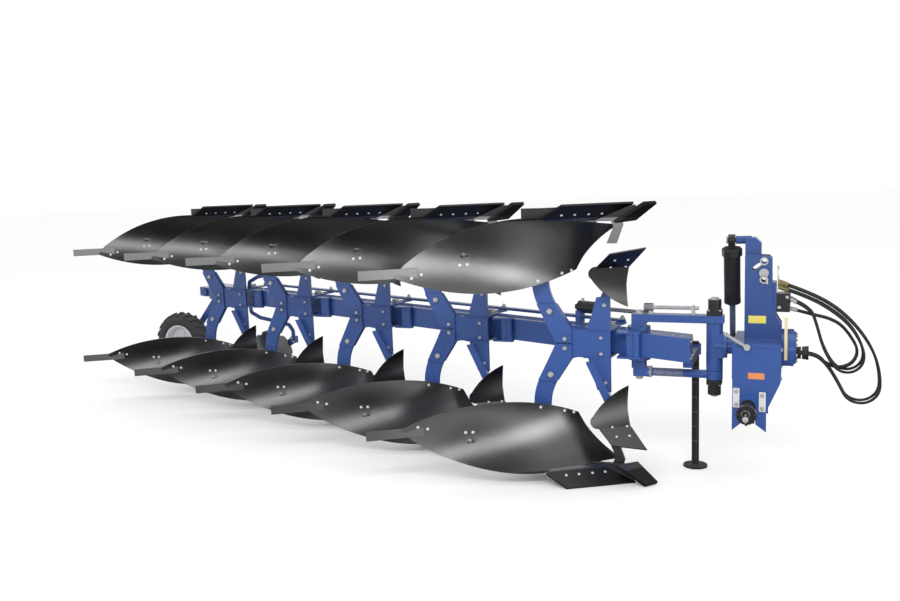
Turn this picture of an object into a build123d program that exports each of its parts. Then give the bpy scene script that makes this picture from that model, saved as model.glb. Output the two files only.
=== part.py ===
"""Five-furrow mounted reversible plough, one STEP per sub-part, millimetres, +X forward, +Z up."""

import os
from math import atan2, cos, degrees, hypot, radians, sin, tan

from build123d import *

os.makedirs("parts", exist_ok=True)

# Driving sizes of the row of furrows
FURROWS = 5
BODY_SPACING = 960.0
FURROW_WIDTH = 403.0
AXIS_HEIGHT = 900.0
FIRST_X = 1900.0
FIRST_Y = -840.0
HITCH_Y = FIRST_Y + 100.0
SIDES = {"lower": -1, "upper": 1}

# Beam, which runs straight back and to the left along the row
BEAM_SIZE = 150.0
BEAM_WALL = 10.0
ROW_ANGLE = degrees(atan2(FURROW_WIDTH, BODY_SPACING))
ROW_STEP = hypot(BODY_SPACING, FURROW_WIDTH)
BACK_X = -cos(radians(ROW_ANGLE))
BACK_Y = sin(radians(ROW_ANGLE))
FRONT_PIVOT_X = FIRST_X + 405.0
FRONT_PIVOT_Y = HITCH_Y
BEAM_NOSE = 405.0
CARRIER_PIVOT_BACK = 205.0 / cos(radians(ROW_ANGLE))
BEAM_TAIL = CARRIER_PIVOT_BACK + (FURROWS - 1) * ROW_STEP + 713.0
NOSE_X = FIRST_X + 744.0
TAIL_STUB = 94.0
TAIL_STUB_LENGTH = 230.0

# Gussets on the near face of the beam, as distances ahead of each furrow
GUSSET_START = 285.0
GUSSET_END = 432.0
GUSSET_NEAR = -28.0
GUSSET_TUBE = 404.0

# Carriers, legs and shanks
PLATE = 24.0
CHEEK = 15.0
CARRIER_FRONT = 242.0
CARRIER_BACK = -100.0
CARRIER_HALF = 98.0
YOKE_GAP = 3.0
YOKE = 13.0
YOKE_TOP = BEAM_SIZE / 2 + YOKE_GAP + YOKE
PIVOT_PIN = 22.0
LEVER = 150.0
LEG_BOLT = (-144.0, 208.0)
SHANK_END = 520.0

# Bodies: the chord of the board in plan, and its sections by station along it
CHORD = (-0.839, -0.545)
FACE = (0.545, -0.839)
BOARD_THICK = 10.0
BOARD_DEEP = 850.0
BOARD_MIDDLE = 600.0
BOARD_HIGH = 330.0
BOARD_SECTIONS = (
    {"station": -300.0, "deep": 215.0, "middle": 30.0, "high": -60.0},
    {"station": 0.0, "deep": 145.0, "middle": -5.0, "high": -42.0},
    {"station": 240.0, "deep": 112.0, "middle": -10.0, "high": -12.0},
    {"station": 600.0, "deep": 55.0, "middle": -35.0, "high": 5.0},
    {"station": 900.0, "deep": 5.0, "middle": -55.0, "high": 5.0},
    {"station": 1200.0, "deep": -20.0, "middle": -45.0, "high": 0.0},
)
SHARE_THICK = 14.0
SHARE_SLOPE = 39.0
POINT_THICK = 22.0
POINT_SLOPE = 35.5
SHARE_EDGE = ((384.0, -12.0), (-0.860, -0.510))
POINT_EDGE = ((463.0, -68.0), (0.599, 0.801))
TAIL_BAR = {"from": 990.0, "to": 1360.0, "depth": 508.0, "width": 62.0, "thick": 10.0}

# Skimmers: front edge in plan, and board sections as station, deep, middle, high
SKIMMER_EDGE = (365.0, -52.0)
SKIMMER_STEM = 40.0
SKIMMER_SLOPE = 42.0
SKIMMER_SECTIONS = (
    (-20.0, 40.0, -2.0, 0.0),
    (120.0, 22.0, -12.0, 2.0),
    (270.0, 5.0, -20.0, 5.0),
)
STEM_TOP = ((90.0, 116.0), (140.0, 110.0))
STEM_FOOT = ((330.0, 500.0), (282.0, 522.0))

# Disc coulters of the last furrow: hub, disc, and the route of the tube that carries them
DISC_HUB = (434.0, 561.0)
DISC_SHIFT = 80.0
DISC_RADIUS = 238.0
DISC_THICK = 5.0
DISC_NOTCHES = 12
DISC_BORE = 15.0
COULTER_TUBE = 18.0
COULTER_ROUTE = (
    (225.0, 85.0), (232.0, 150.0), (330.0, 200.0), (480.0, 226.0), (650.0, 262.0), (690.0, 320.0), (690.0, 405.0),
)

# Width cylinder on top of the beam, as distances back from the front pivot
CYLINDER_SHIFT = 90.0
WIDTH_CYLINDER_HEIGHT = 178.0
WIDTH_BARREL = 42.0
WIDTH_BARREL_SPAN = (352.0, 520.0)
CYLINDER_SADDLES = (505.0,)
ROD_EYE_X = FRONT_PIVOT_X + BACK_Y * CYLINDER_SHIFT
ROD_EYE_Y = FRONT_PIVOT_Y - BACK_X * CYLINDER_SHIFT

# Front linkage
ARM_REACH = 463.0
HEAD_X = FRONT_PIVOT_X + ARM_REACH
ARM_WIDE = 80.0
ARM_TALL = 48.0
ARM_HEIGHT = 163.0
LOWER_ARM_DEPTH = 187.0
HEAD_POST = 50.0
SHAFT = 52.0
CYLINDER_X = FIRST_X + 965.0
CRANK = 170.0
CYLINDER_TOP = 650.0
CYLINDER_ANGLE = degrees(atan2(CRANK, CYLINDER_TOP))
CYLINDER_LENGTH = hypot(CRANK, CYLINDER_TOP)

TURN_BARREL = 49.0
TURN_BARREL_END = 410.0
TURN_ROD_TOP = 290.0

# Headstock
STOCK_BACK = FIRST_X + 987.0
STOCK_FRONT = FIRST_X + 1256.0
STOCK_HALF = 215.0
STOCK_TOP = 55.0
STOCK_WALL = 20.0
MAST_HALF = 45.0
MAST_PLATE = 20.0
LINK_X = FIRST_X + 1078.0
LINK_DEPTH = 325.0
LINK_HALF = 412.5
TOP_PIN_X = FIRST_X + 1153.0
TOP_PIN_RISE = 457.0

# Hydraulics on the mast's front, as distances ahead of the first body and above the turnover axis
PAD_FRONT = FIRST_X + 1225.0
VALVE_SIZE = (75.0, 100.0, 110.0)
VALVE_FOOT = 222.0
BRACKET_THICK = 6.0
HOSE = 16.0
GUIDE_DROP = 30.0
GUIDE_MOUTH = FIRST_X + 1408.0
GUIDE_BOTTOM = FIRST_X + 1366.0
COUPLING_TILT = 20.0
COUPLING_RADIUS = 11.5
COUPLING_TIPS = ((1285.0, 379.0), (1290.0, 349.0))
COUPLING_SPREAD = 28.0
FITTING_LENGTH = 39.9
FITTINGS = (
    {"rise": 298.0, "spread": 36.0, "tilt": 27.0},
    {"rise": 238.0, "spread": 13.0, "tilt": 15.0},
)

# Hose routes: distance ahead of the first body, height over the turnover axis, distance to one side
OUTER_HOSE = (
    (1285.0, 379.0, 28.0), (1416.6, 331.1, 28.0), (1562.0, 246.0, 33.0), (1680.0, 125.0, 36.0),
    (1762.0, -10.0, 38.0), (1795.0, -140.0, 40.0), (1795.1, -254.7, 40.0), (1718.1, -317.7, 38.0),
    (1620.6, -298.2, 36.0), (1577.0, -208.0, 33.0), (1518.0, -104.0, 30.0), (1446.0, -30.0, 29.0),
    (1366.0, -30.0, 29.0),
)
MIDDLE_HOSE = (
    (1290.0, 349.0, 28.0), (1398.1, 309.7, 28.0), (1520.0, 243.0, 40.0), (1635.0, 145.0, 46.0),
    (1706.0, 12.0, 48.0), (1705.0, -80.0, 48.0), (1640.7, -133.9, 48.0), (1558.0, -119.3, 47.0),
    (1487.0, 4.0, 44.0), (1448.0, 150.0, 40.0), (1415.8, 238.9, 36.0), (1335.6, 279.8, 36.0),
)
INNER_HOSE = (
    (1338.6, 227.6, 13.0), (1435.2, 201.8, 13.0), (1510.0, 186.0, 14.0), (1580.0, 150.0, 15.0),
    (1634.1, 81.6, 16.0), (1678.7, -2.3, 16.0), (1649.9, -83.0, 15.0), (1570.8, -116.0, 13.0),
    (1489.2, -78.0, 11.0), (1432.0, -30.0, 10.0), (1366.0, -30.0, 10.0),
)
HOSES = {"outer": OUTER_HOSE, "middle": MIDDLE_HOSE, "inner": INNER_HOSE}

# Wheel, stand
WHEEL_RADIUS = 318.0
LUGS = 20
LUG_HEIGHT = 16.0
WHEEL_WIDTH = 190.0
RIM_RADIUS = 176.0
WHEEL_X = FIRST_X - 4890.0
WHEEL_Y = FIRST_Y + 2250.0
ARM_PIVOT_X = FIRST_X - 4420.0
ARM_PIVOT_Z = AXIS_HEIGHT - 12.0
ARM_Y = WHEEL_Y + 106.0
STAND_X = FIRST_X + 720.0
STAND_Y = FIRST_Y + 430.0
STAND_RADIUS = 24.0
STAND_TOP = AXIS_HEIGHT - 45.0
STAND_BAR = -95.0

floor_plane = Plane.XY


def row_x(index):
    return FIRST_X - index * BODY_SPACING


def row_y(index):
    return FIRST_Y + index * FURROW_WIDTH


def body_plane(index, side, shift=0.0):
    """Vertical plane along the travel of one furrow; its second axis runs away from the turnover axis."""
    origin = (row_x(index), row_y(index) + shift, AXIS_HEIGHT)
    return Plane(origin=origin, x_dir=(1, 0, 0), z_dir=(0, -side, 0))


def level(height):
    return Plane.XY.offset(AXIS_HEIGHT + height)


def beam_plane(height=0.0, side_shift=0.0):
    """Level plane with its origin on the front pivot and its first axis back along the beam."""
    x = FRONT_PIVOT_X + BACK_Y * side_shift
    y = FRONT_PIVOT_Y - BACK_X * side_shift
    return Plane(origin=(x, y, AXIS_HEIGHT + height), x_dir=(BACK_X, BACK_Y, 0), z_dir=(0, 0, 1))


def save(part, name):
    part.label = name
    export_step(part, f"parts/{name}.step")


def carrier_pivot(index):
    back = CARRIER_PIVOT_BACK + index * ROW_STEP
    return FRONT_PIVOT_X + BACK_X * back, FRONT_PIVOT_Y + BACK_Y * back


def make_carrier(index):
    pivot_x, pivot_y = carrier_pivot(index)
    local_x = pivot_x - row_x(index)
    local_y = pivot_y - row_y(index)
    with BuildPart() as carrier:
        with BuildSketch(body_plane(index, 1, -PLATE / 2)):
            with BuildLine():
                Polyline(
                    (CARRIER_BACK, CARRIER_HALF), (0.0, CARRIER_HALF), (30.0, 90.0), (CARRIER_FRONT, 90.0),
                    (CARRIER_FRONT, -90.0), (30.0, -90.0), (0.0, -CARRIER_HALF), (CARRIER_BACK, -CARRIER_HALF),
                    close=True,
                )
            make_face()
        extrude(amount=-PLATE)
        for side in SIDES.values():
            inner = BEAM_SIZE / 2 + YOKE_GAP
            middle = AXIS_HEIGHT + side * (inner + YOKE / 2)
            with BuildSketch(Plane(origin=(row_x(index), row_y(index), middle))):
                with BuildLine():
                    Polyline(
                        (60.0, 0.0), (CARRIER_FRONT, 0.0), (local_x + 60.0, local_y),
                        (local_x, local_y + 60.0), (local_x - 60.0, local_y),
                        close=True,
                    )
                make_face()
                with Locations((local_x, local_y)):
                    Circle(62.0)
            extrude(amount=YOKE / 2, both=True)
        with BuildSketch(level(BEAM_SIZE / 2 + YOKE_GAP)):
            tip_x = pivot_x + BACK_Y * LEVER
            tip_y = pivot_y - BACK_X * LEVER
            with BuildLine():
                Polyline(
                    (pivot_x + BACK_X * 40, pivot_y + BACK_Y * 40), (pivot_x - BACK_X * 40, pivot_y - BACK_Y * 40),
                    (tip_x - BACK_X * 28, tip_y - BACK_Y * 28), (tip_x + BACK_X * 28, tip_y + BACK_Y * 28),
                    close=True,
                )
            make_face()
            with Locations((tip_x, tip_y)):
                Circle(28.0)
                Circle(12.6, mode=Mode.SUBTRACT)
        extrude(amount=YOKE)
        with BuildSketch(level(0)):
            with Locations((pivot_x, pivot_y)):
                Circle(PIVOT_PIN)
        extrude(amount=108.0, both=True)
        with BuildSketch(body_plane(index, 1, -PLATE / 2)):
            with Locations((184.0, 42.0), (184.0, -62.0)):
                Circle(12.0)
        extrude(amount=9.0)
        for side in SIDES.values():
            add(make_stem(index, side))
            with BuildSketch(body_plane(index, side)):
                with BuildLine():
                    Polyline(
                        (98.0, YOKE_TOP), (CARRIER_FRONT, YOKE_TOP), (CARRIER_FRONT, 312.0), (155.0, 300.0), close=True
                    )
                make_face()
            extrude(amount=PLATE / 2, both=True)
            if index == FURROWS - 1:
                add(make_coulter_arm(index, side))
    save(carrier.part, f"carrier_{index + 1}")


def make_stem(index, side):
    """Square stem of one skimmer, beside the carrier plate."""
    with BuildPart(mode=Mode.PRIVATE) as stem:
        with BuildSketch(body_plane(index, side, side * (PLATE / 2 + SKIMMER_STEM / 2))):
            with BuildLine():
                Polyline(STEM_TOP[0], STEM_TOP[1], STEM_FOOT[0], STEM_FOOT[1], close=True)
            make_face()
        extrude(amount=SKIMMER_STEM / 2, both=True)
    return stem.part


def make_coulter_arm(index, side):
    """Bent tube from the yoke to the swivel block, with the trailing plate and the pin of the disc."""
    plane = body_plane(index, side, DISC_SHIFT)
    points = [plane.from_local_coords((x, rise, 0)) for x, rise in COULTER_ROUTE]
    with BuildPart(mode=Mode.PRIVATE) as arm:
        with BuildLine():
            FilletPolyline(*points, radius=28.0)
        with BuildSketch(Plane(origin=points[0], z_dir=points[1] - points[0])):
            Circle(COULTER_TUBE)
        sweep()
        with BuildSketch(body_plane(index, side, DISC_SHIFT + 10.0)):
            with Locations((690.0, 405.0)):
                Rectangle(50.0, 62.0)
        extrude(amount=30.0, both=True)
        with BuildSketch(body_plane(index, side, DISC_SHIFT + 34.0)):
            with BuildLine():
                Polyline((665.0, 376.0), (715.0, 420.0), (452.0, 592.0), (416.0, 530.0), close=True)
            make_face()
            with Locations(DISC_HUB):
                Circle(36.0)
        extrude(amount=6.0, both=True)
        with BuildSketch(body_plane(index, side, DISC_SHIFT + 6.0)):
            with Locations(DISC_HUB):
                Circle(DISC_BORE - 0.6)
        extrude(amount=30.0, both=True)
    return arm.part


def make_disc(index, side_name):
    side = SIDES[side_name]
    plane = body_plane(index, side, DISC_SHIFT)
    hub = plane.from_local_coords((*DISC_HUB, 0))
    with BuildPart() as disc:
        with BuildSketch(Plane(origin=hub, x_dir=(1, 0, 0), z_dir=(0, 1, 0))):
            Circle(DISC_RADIUS)
            with PolarLocations(DISC_RADIUS + 12.0, DISC_NOTCHES):
                Circle(30.0, mode=Mode.SUBTRACT)
        extrude(amount=DISC_THICK / 2, both=True)
        with BuildSketch(Plane(origin=hub, x_dir=(1, 0, 0), z_dir=(0, 1, 0))):
            Circle(44.0)
        extrude(amount=22.0, both=True)
        with BuildSketch(Plane(origin=hub, x_dir=(1, 0, 0), z_dir=(0, 1, 0))):
            Circle(DISC_BORE)
        extrude(amount=40.0, both=True, mode=Mode.SUBTRACT)
    save(disc.part, f"coulter_disc_{side_name}")


def make_legs(index):
    with BuildPart() as legs:
        for side in SIDES.values():
            for face in (-1, 1):
                with BuildSketch(body_plane(index, side, face * (PLATE + CHEEK) / 2)):
                    with BuildLine():
                        Polyline((-157.0, 100.0), (-112.0, 5.0), (-6.0, 5.0), (-6.0, 100.0), (-106.0, 254.0))
                        Line((-106.0, 254.0), (-232.0, 250.0))
                        Line((-232.0, 250.0), (-157.0, 100.0))
                    make_face()
                extrude(amount=CHEEK / 2, both=True)
            with BuildSketch(body_plane(index, side)):
                with BuildLine():
                    Line((-170.0, 125.0), (-24.0, 125.0))
                    Line((-24.0, 125.0), (-106.0, 250.0))
                    ThreePointArc((-106.0, 250.0), (-150.0, 372.0), (-140.0, SHANK_END))
                    Line((-140.0, SHANK_END), (-252.0, SHANK_END))
                    ThreePointArc((-252.0, SHANK_END), (-264.0, 377.0), (-227.0, 240.0))
                    Line((-227.0, 240.0), (-170.0, 125.0))
                make_face()
            extrude(amount=PLATE / 2, both=True)
            for face in (-1, 1):
                with BuildSketch(body_plane(index, side, face * (PLATE / 2 + CHEEK))):
                    with Locations(LEG_BOLT):
                        Circle(17.0)
                    with Locations((-48.0, 31.0)):
                        Circle(11.0)
                extrude(amount=-side * face * 9.0)
    save(legs.part, f"legs_{index + 1}")


def chord_plane(index, side, station, normal_face=False):
    """Plane across the board at one station, or the board's own chord plane."""
    origin = (row_x(index) + station * CHORD[0], row_y(index) + station * CHORD[1], AXIS_HEIGHT)
    if normal_face:
        return Plane(origin=origin, x_dir=(*CHORD, 0), z_dir=(-FACE[0] * side, -FACE[1] * side, 0))
    return Plane(origin=origin, x_dir=(*FACE, 0), z_dir=(CHORD[0] * side, CHORD[1] * side, 0))


def make_bottom(index, side_name):
    side = SIDES[side_name]
    with BuildPart() as board:
        for row in BOARD_SECTIONS:
            back = BOARD_THICK
            with BuildSketch(chord_plane(index, side, row["station"])):
                with BuildLine():
                    ThreePointArc(
                        (row["deep"], BOARD_DEEP), (row["middle"], BOARD_MIDDLE), (row["high"], BOARD_HIGH)
                    )
                    Line((row["high"], BOARD_HIGH), (row["high"] - back, BOARD_HIGH))
                    ThreePointArc(
                        (row["high"] - back, BOARD_HIGH),
                        (row["middle"] - back, BOARD_MIDDLE),
                        (row["deep"] - back, BOARD_DEEP),
                    )
                    Line((row["deep"] - back, BOARD_DEEP), (row["deep"], BOARD_DEEP))
                make_face()
        loft()
        with BuildSketch(chord_plane(index, side, 0.0, normal_face=True)):
            with BuildLine():
                Line((-42.0, 471.0), (-84.0, 555.0))
                ThreePointArc((-84.0, 555.0), (-165.0, 662.0), (-270.0, 758.0))
                Line((-270.0, 758.0), (250.0, 819.0))
                ThreePointArc((250.0, 819.0), (709.0, 752.0), (1083.0, 552.0))
                Line((1083.0, 552.0), (1140.0, 482.0))
                ThreePointArc((1140.0, 482.0), (598.0, 356.0), (-42.0, 471.0))
            make_face()
        extrude(amount=400.0, both=True, mode=Mode.INTERSECT)
    with BuildPart() as bottom:
        add(board.part)
        tip = AXIS_HEIGHT + side * AXIS_HEIGHT
        edge_origin = (row_x(index) + SHARE_EDGE[0][0], row_y(index) + SHARE_EDGE[0][1], tip)
        edge_dir = Vector(*SHARE_EDGE[1], 0.0)
        rise = Vector(edge_dir.Y, -edge_dir.X, 0.0) * cos(radians(SHARE_SLOPE))
        rise = rise + Vector(0, 0, -side * sin(radians(SHARE_SLOPE)))
        share_normal = edge_dir.cross(rise)
        with BuildSketch(Plane(origin=edge_origin, x_dir=edge_dir, z_dir=share_normal)):
            with BuildLine():
                Polyline(
                    (-10.0, 0.0), (446.0, 0.0), (556.0, 120.0), (520.0, 150.0), (125.0, 165.0), (30.0, 80.0), close=True
                )
            make_face()
        extrude(amount=side * SHARE_THICK)
        point_origin = (row_x(index) + POINT_EDGE[0][0], row_y(index) + POINT_EDGE[0][1], tip)
        point_dir = Vector(*POINT_EDGE[1], 0.0)
        point_rise = Vector(-point_dir.Y, point_dir.X, 0.0) * cos(radians(POINT_SLOPE))
        point_rise = point_rise + Vector(0, 0, -side * sin(radians(POINT_SLOPE)))
        point_normal = point_dir.cross(point_rise)
        with BuildSketch(Plane(origin=point_origin, x_dir=point_dir, z_dir=point_normal)):
            with BuildLine():
                Polyline((0.0, 0.0), (101.0, 0.0), (66.0, 178.0), (-100.0, 192.0), close=True)
            make_face()
        extrude(amount=-side * POINT_THICK)
        with BuildSketch(body_plane(index, side)):
            with BuildLine():
                Polyline(
                    (-252.0, SHANK_END), (-140.0, SHANK_END), (-110.0, 560.0), (40.0, 700.0), (150.0, 782.0),
                    (330.0, 781.0), (405.0, 822.0), (405.0, 880.0), (150.0, 880.0), (-220.0, 870.0),
                    (-240.0, 700.0), close=True,
                )
            make_face()
        extrude(amount=PLATE / 2, both=True)
        with BuildSketch(body_plane(index, side)):
            with Locations((-85.0, 815.0)):
                Rectangle(490.0, 110.0)
        extrude(amount=-side * (PLATE / 2 + 18.0))
        with BuildSketch(body_plane(index, side, 30.0)):
            with BuildLine():
                Polyline(
                    (218.0, 640.0), (281.0, 640.0), (324.0, 758.0), (310.0, 806.0), (236.0, 806.0),
                    (262.0, 745.0), close=True,
                )
            make_face()
        extrude(amount=7.0, both=True)
        with BuildSketch(chord_plane(index, side, 100.0)):
            with BuildLine():
                Polyline(
                    (-110.0, 540.0), (-28.0, 540.0), (-5.0, 620.0), (30.0, 700.0), (86.0, 800.0),
                    (40.0, 850.0), (-110.0, 850.0), close=True,
                )
            make_face()
        extrude(amount=8.0, both=True)
        with BuildSketch(chord_plane(index, side, TAIL_BAR["from"])):
            with Locations((-51.0, TAIL_BAR["depth"])):
                Rectangle(TAIL_BAR["thick"] + 4.0, TAIL_BAR["width"])
        extrude(amount=side * (TAIL_BAR["to"] - TAIL_BAR["from"]))
        start = Vector(row_x(index) - 232.0, row_y(index), AXIS_HEIGHT + side * 650.0)
        end = Vector(row_x(index) - 612.0, row_y(index) - 342.0, AXIS_HEIGHT + side * 600.0)
        with BuildSketch(Plane(origin=start, z_dir=end - start)):
            Circle(14.0)
        extrude(amount=(end - start).length - 15.0)
    save(bottom.part, f"{side_name}_bottom_{index + 1}")


def skimmer_plane(index, side, station, normal_face=False):
    origin_x = row_x(index) + SKIMMER_EDGE[0] + station * CHORD[0]
    origin_y = row_y(index) + SKIMMER_EDGE[1] + station * CHORD[1]
    origin = (origin_x, origin_y, AXIS_HEIGHT)
    if normal_face:
        return Plane(origin=origin, x_dir=(*CHORD, 0), z_dir=(-FACE[0] * side, -FACE[1] * side, 0))
    return Plane(origin=origin, x_dir=(*FACE, 0), z_dir=(CHORD[0] * side, CHORD[1] * side, 0))


def make_skimmers(index):
    with BuildPart() as skimmers:
        for side in SIDES.values():
            with BuildPart(mode=Mode.PRIVATE) as board:
                for station, deep, middle, high in SKIMMER_SECTIONS:
                    with BuildSketch(skimmer_plane(index, side, station)):
                        with BuildLine():
                            ThreePointArc((deep, 540.0), (middle, 400.0), (high, 240.0))
                            Line((high, 240.0), (high - 8.0, 240.0))
                            ThreePointArc((high - 8.0, 240.0), (middle - 8.0, 400.0), (deep - 8.0, 540.0))
                            Line((deep - 8.0, 540.0), (deep, 540.0))
                        make_face()
                loft()
                with BuildSketch(skimmer_plane(index, side, 0.0, normal_face=True)):
                    with BuildLine():
                        Line((0.0, 250.0), (8.0, 400.0))
                        Line((8.0, 400.0), (0.0, 528.0))
                        Line((0.0, 528.0), (205.0, 512.0))
                        ThreePointArc((205.0, 512.0), (250.0, 484.0), (232.0, 436.0))
                        ThreePointArc((232.0, 436.0), (138.0, 332.0), (0.0, 250.0))
                    make_face()
                extrude(amount=200.0, both=True, mode=Mode.INTERSECT)
            add(board.part)
            share_rise = Vector(-FACE[0], -FACE[1], 0) * cos(radians(SKIMMER_SLOPE))
            share_rise = share_rise + Vector(0, 0, -side * sin(radians(SKIMMER_SLOPE)))
            share_dir = (Vector(*CHORD, 0) * 206.0 - Vector(*FACE, 0) * 20.0).normalized()
            share_rise = share_rise - share_dir * share_rise.dot(share_dir)
            share_origin = skimmer_plane(index, side, 0.0).origin + Vector(*FACE, 0) * 26.0
            share_origin = share_origin + Vector(0, 0, side * 520.0)
            share_normal = share_dir.cross(share_rise)
            with BuildSketch(Plane(origin=share_origin, x_dir=share_dir, z_dir=share_normal)):
                with BuildLine():
                    Polyline((0.0, 12.0), (-62.0, -165.0), (150.0, -120.0), (206.0, 12.0), close=True)
                make_face()
            extrude(amount=side * 10.0)
            reach = -78.0 if side < 0 else -160.0
            with BuildSketch(skimmer_plane(index, side, 70.0)):
                with Locations(((reach - 14.0) / 2, 440.0)):
                    Rectangle(-reach - 14.0, 90.0)
            extrude(amount=35.0, both=True)
            add(make_stem(index, side), mode=Mode.SUBTRACT)
    save(skimmers.part, f"skimmers_{index + 1}")


def make_gusset(index):
    """Flanges, web and upright tube ahead of one carrier, on the near face of the beam."""
    near_face = FRONT_PIVOT_Y - FIRST_Y - BEAM_SIZE / 2 / cos(radians(ROW_ANGLE)) + 3.0
    slope = FURROW_WIDTH / BODY_SPACING
    start_y = near_face + (FRONT_PIVOT_X - FIRST_X - GUSSET_START) * slope
    end_y = near_face + (FRONT_PIVOT_X - FIRST_X - GUSSET_END) * slope
    web_start = GUSSET_START + 60.0
    with BuildPart(mode=Mode.PRIVATE) as gusset:
        for way in (-1, 1):
            with BuildSketch(Plane(origin=(row_x(index), row_y(index), AXIS_HEIGHT + way * 74.0))):
                with BuildLine():
                    Polyline(
                        (GUSSET_START, GUSSET_NEAR), (GUSSET_END, GUSSET_NEAR), (GUSSET_END, end_y),
                        (GUSSET_START, start_y), close=True,
                    )
                make_face()
            extrude(amount=way * 12.0)
        with BuildSketch(Plane(origin=(row_x(index), row_y(index), AXIS_HEIGHT))):
            with Locations(((GUSSET_TUBE + web_start) / 2, GUSSET_NEAR + 20.0)):
                Rectangle(GUSSET_TUBE - web_start, 12.0)
            with Locations((GUSSET_TUBE, 4.0)):
                Rectangle(20.0, 40.0)
            with Locations((GUSSET_TUBE, GUSSET_NEAR + 22.0)):
                Circle(22.0)
        extrude(amount=74.0, both=True)
    return gusset.part


def make_beam():
    with BuildPart() as beam:
        nose = beam_plane(0.0).from_local_coords((-BEAM_NOSE, 0, 0))
        across = Plane(origin=nose, x_dir=(BACK_Y, -BACK_X, 0), z_dir=(BACK_X, BACK_Y, 0))
        plate_y = FRONT_PIVOT_Y + (NOSE_X - 6.0 - FRONT_PIVOT_X) * BACK_Y / BACK_X
        with BuildSketch(across):
            Rectangle(BEAM_SIZE, BEAM_SIZE)
            Rectangle(BEAM_SIZE - 2 * BEAM_WALL, BEAM_SIZE - 2 * BEAM_WALL, mode=Mode.SUBTRACT)
        extrude(amount=BEAM_NOSE + BEAM_TAIL)
        with BuildSketch(Plane(origin=(NOSE_X - 12.0, plate_y, AXIS_HEIGHT), x_dir=(0, 1, 0), z_dir=(1, 0, 0))):
            Rectangle(BEAM_SIZE * 2, BEAM_SIZE)
        extrude(amount=200.0, mode=Mode.SUBTRACT)
        with BuildSketch(Plane(origin=(NOSE_X - 12.0, plate_y, AXIS_HEIGHT), x_dir=(0, 1, 0), z_dir=(1, 0, 0))):
            Rectangle(BEAM_SIZE / cos(radians(ROW_ANGLE)) - 6.0, BEAM_SIZE)
        extrude(amount=12.0)
        tail = beam_plane(0.0).from_local_coords((BEAM_TAIL, 0, 0))
        with BuildSketch(Plane(origin=tail, x_dir=(BACK_Y, -BACK_X, 0), z_dir=(BACK_X, BACK_Y, 0))):
            Rectangle(BEAM_SIZE, BEAM_SIZE)
        extrude(amount=-12.0)
        with BuildSketch(Plane(origin=(tail.X, tail.Y, ARM_PIVOT_Z), x_dir=(BACK_Y, -BACK_X, 0), z_dir=(BACK_X, BACK_Y, 0))):
            Rectangle(TAIL_STUB, TAIL_STUB)
        extrude(amount=TAIL_STUB_LENGTH)
        for index in range(FURROWS):
            add(make_gusset(index))
        spots = [(CARRIER_PIVOT_BACK + index * ROW_STEP, 0.0) for index in range(FURROWS)]
        with BuildSketch(beam_plane(0.0)):
            with Locations(*spots, (0.0, 0.0)):
                Circle(PIVOT_PIN + 16.0)
        extrude(amount=BEAM_SIZE / 2 - 1, both=True)
        with BuildSketch(beam_plane(0.0)):
            with Locations(*spots):
                Circle(PIVOT_PIN + 0.6)
            with Locations((0.0, 0.0)):
                Circle(28.6)
        extrude(amount=BEAM_SIZE, both=True, mode=Mode.SUBTRACT)
        near = FIRST_Y + 2060.0
        with BuildSketch(Plane(origin=(ARM_PIVOT_X, near, ARM_PIVOT_Z), x_dir=(1, 0, 0), z_dir=(0, 1, 0))):
            Circle(46.0)
        extrude(amount=ARM_Y - 6.0 - near)
        with BuildSketch(Plane(origin=(ARM_PIVOT_X, near, ARM_PIVOT_Z), x_dir=(1, 0, 0), z_dir=(0, -1, 0))):
            RegularPolygon(38.0, 6)
        extrude(amount=20.0)
        with BuildSketch(Plane(origin=(ARM_PIVOT_X, ARM_Y, ARM_PIVOT_Z), x_dir=(1, 0, 0), z_dir=(0, -1, 0))):
            Circle(20.6)
        extrude(amount=136.0, mode=Mode.SUBTRACT)
        with BuildSketch(level(STAND_BAR)):
            with Locations((STAND_X, (FRONT_PIVOT_Y - 130.0 + STAND_Y) / 2)):
                Rectangle(56.0, STAND_Y - FRONT_PIVOT_Y + 130.0)
        extrude(amount=30.0, both=True)
        with BuildSketch(level(STAND_BAR)):
            with Locations((STAND_X, STAND_Y)):
                Circle(STAND_RADIUS + 12.0)
        extrude(amount=35.0, both=True)
        with BuildSketch(level(STAND_BAR)):
            with Locations((STAND_X, STAND_Y)):
                Circle(STAND_RADIUS + 0.6)
        extrude(amount=150.0, both=True, mode=Mode.SUBTRACT)
        for place in CYLINDER_SADDLES:
            with BuildSketch(beam_plane(BEAM_SIZE / 2, CYLINDER_SHIFT - 25.0)):
                with Locations((place, 0.0)):
                    Rectangle(36.0, 60.0)
            extrude(amount=WIDTH_CYLINDER_HEIGHT - BEAM_SIZE / 2 - WIDTH_BARREL / 2)
        barrel_end = beam_plane(WIDTH_CYLINDER_HEIGHT, CYLINDER_SHIFT).from_local_coords((WIDTH_BARREL_SPAN[1] + 50, 0, 0))
        with BuildSketch(Plane(origin=barrel_end, x_dir=(0, 0, 1), z_dir=(-BACK_X, -BACK_Y, 0))):
            Circle(WIDTH_BARREL)
        extrude(amount=300.0, mode=Mode.SUBTRACT)
    save(beam.part, "main_beam")


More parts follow.
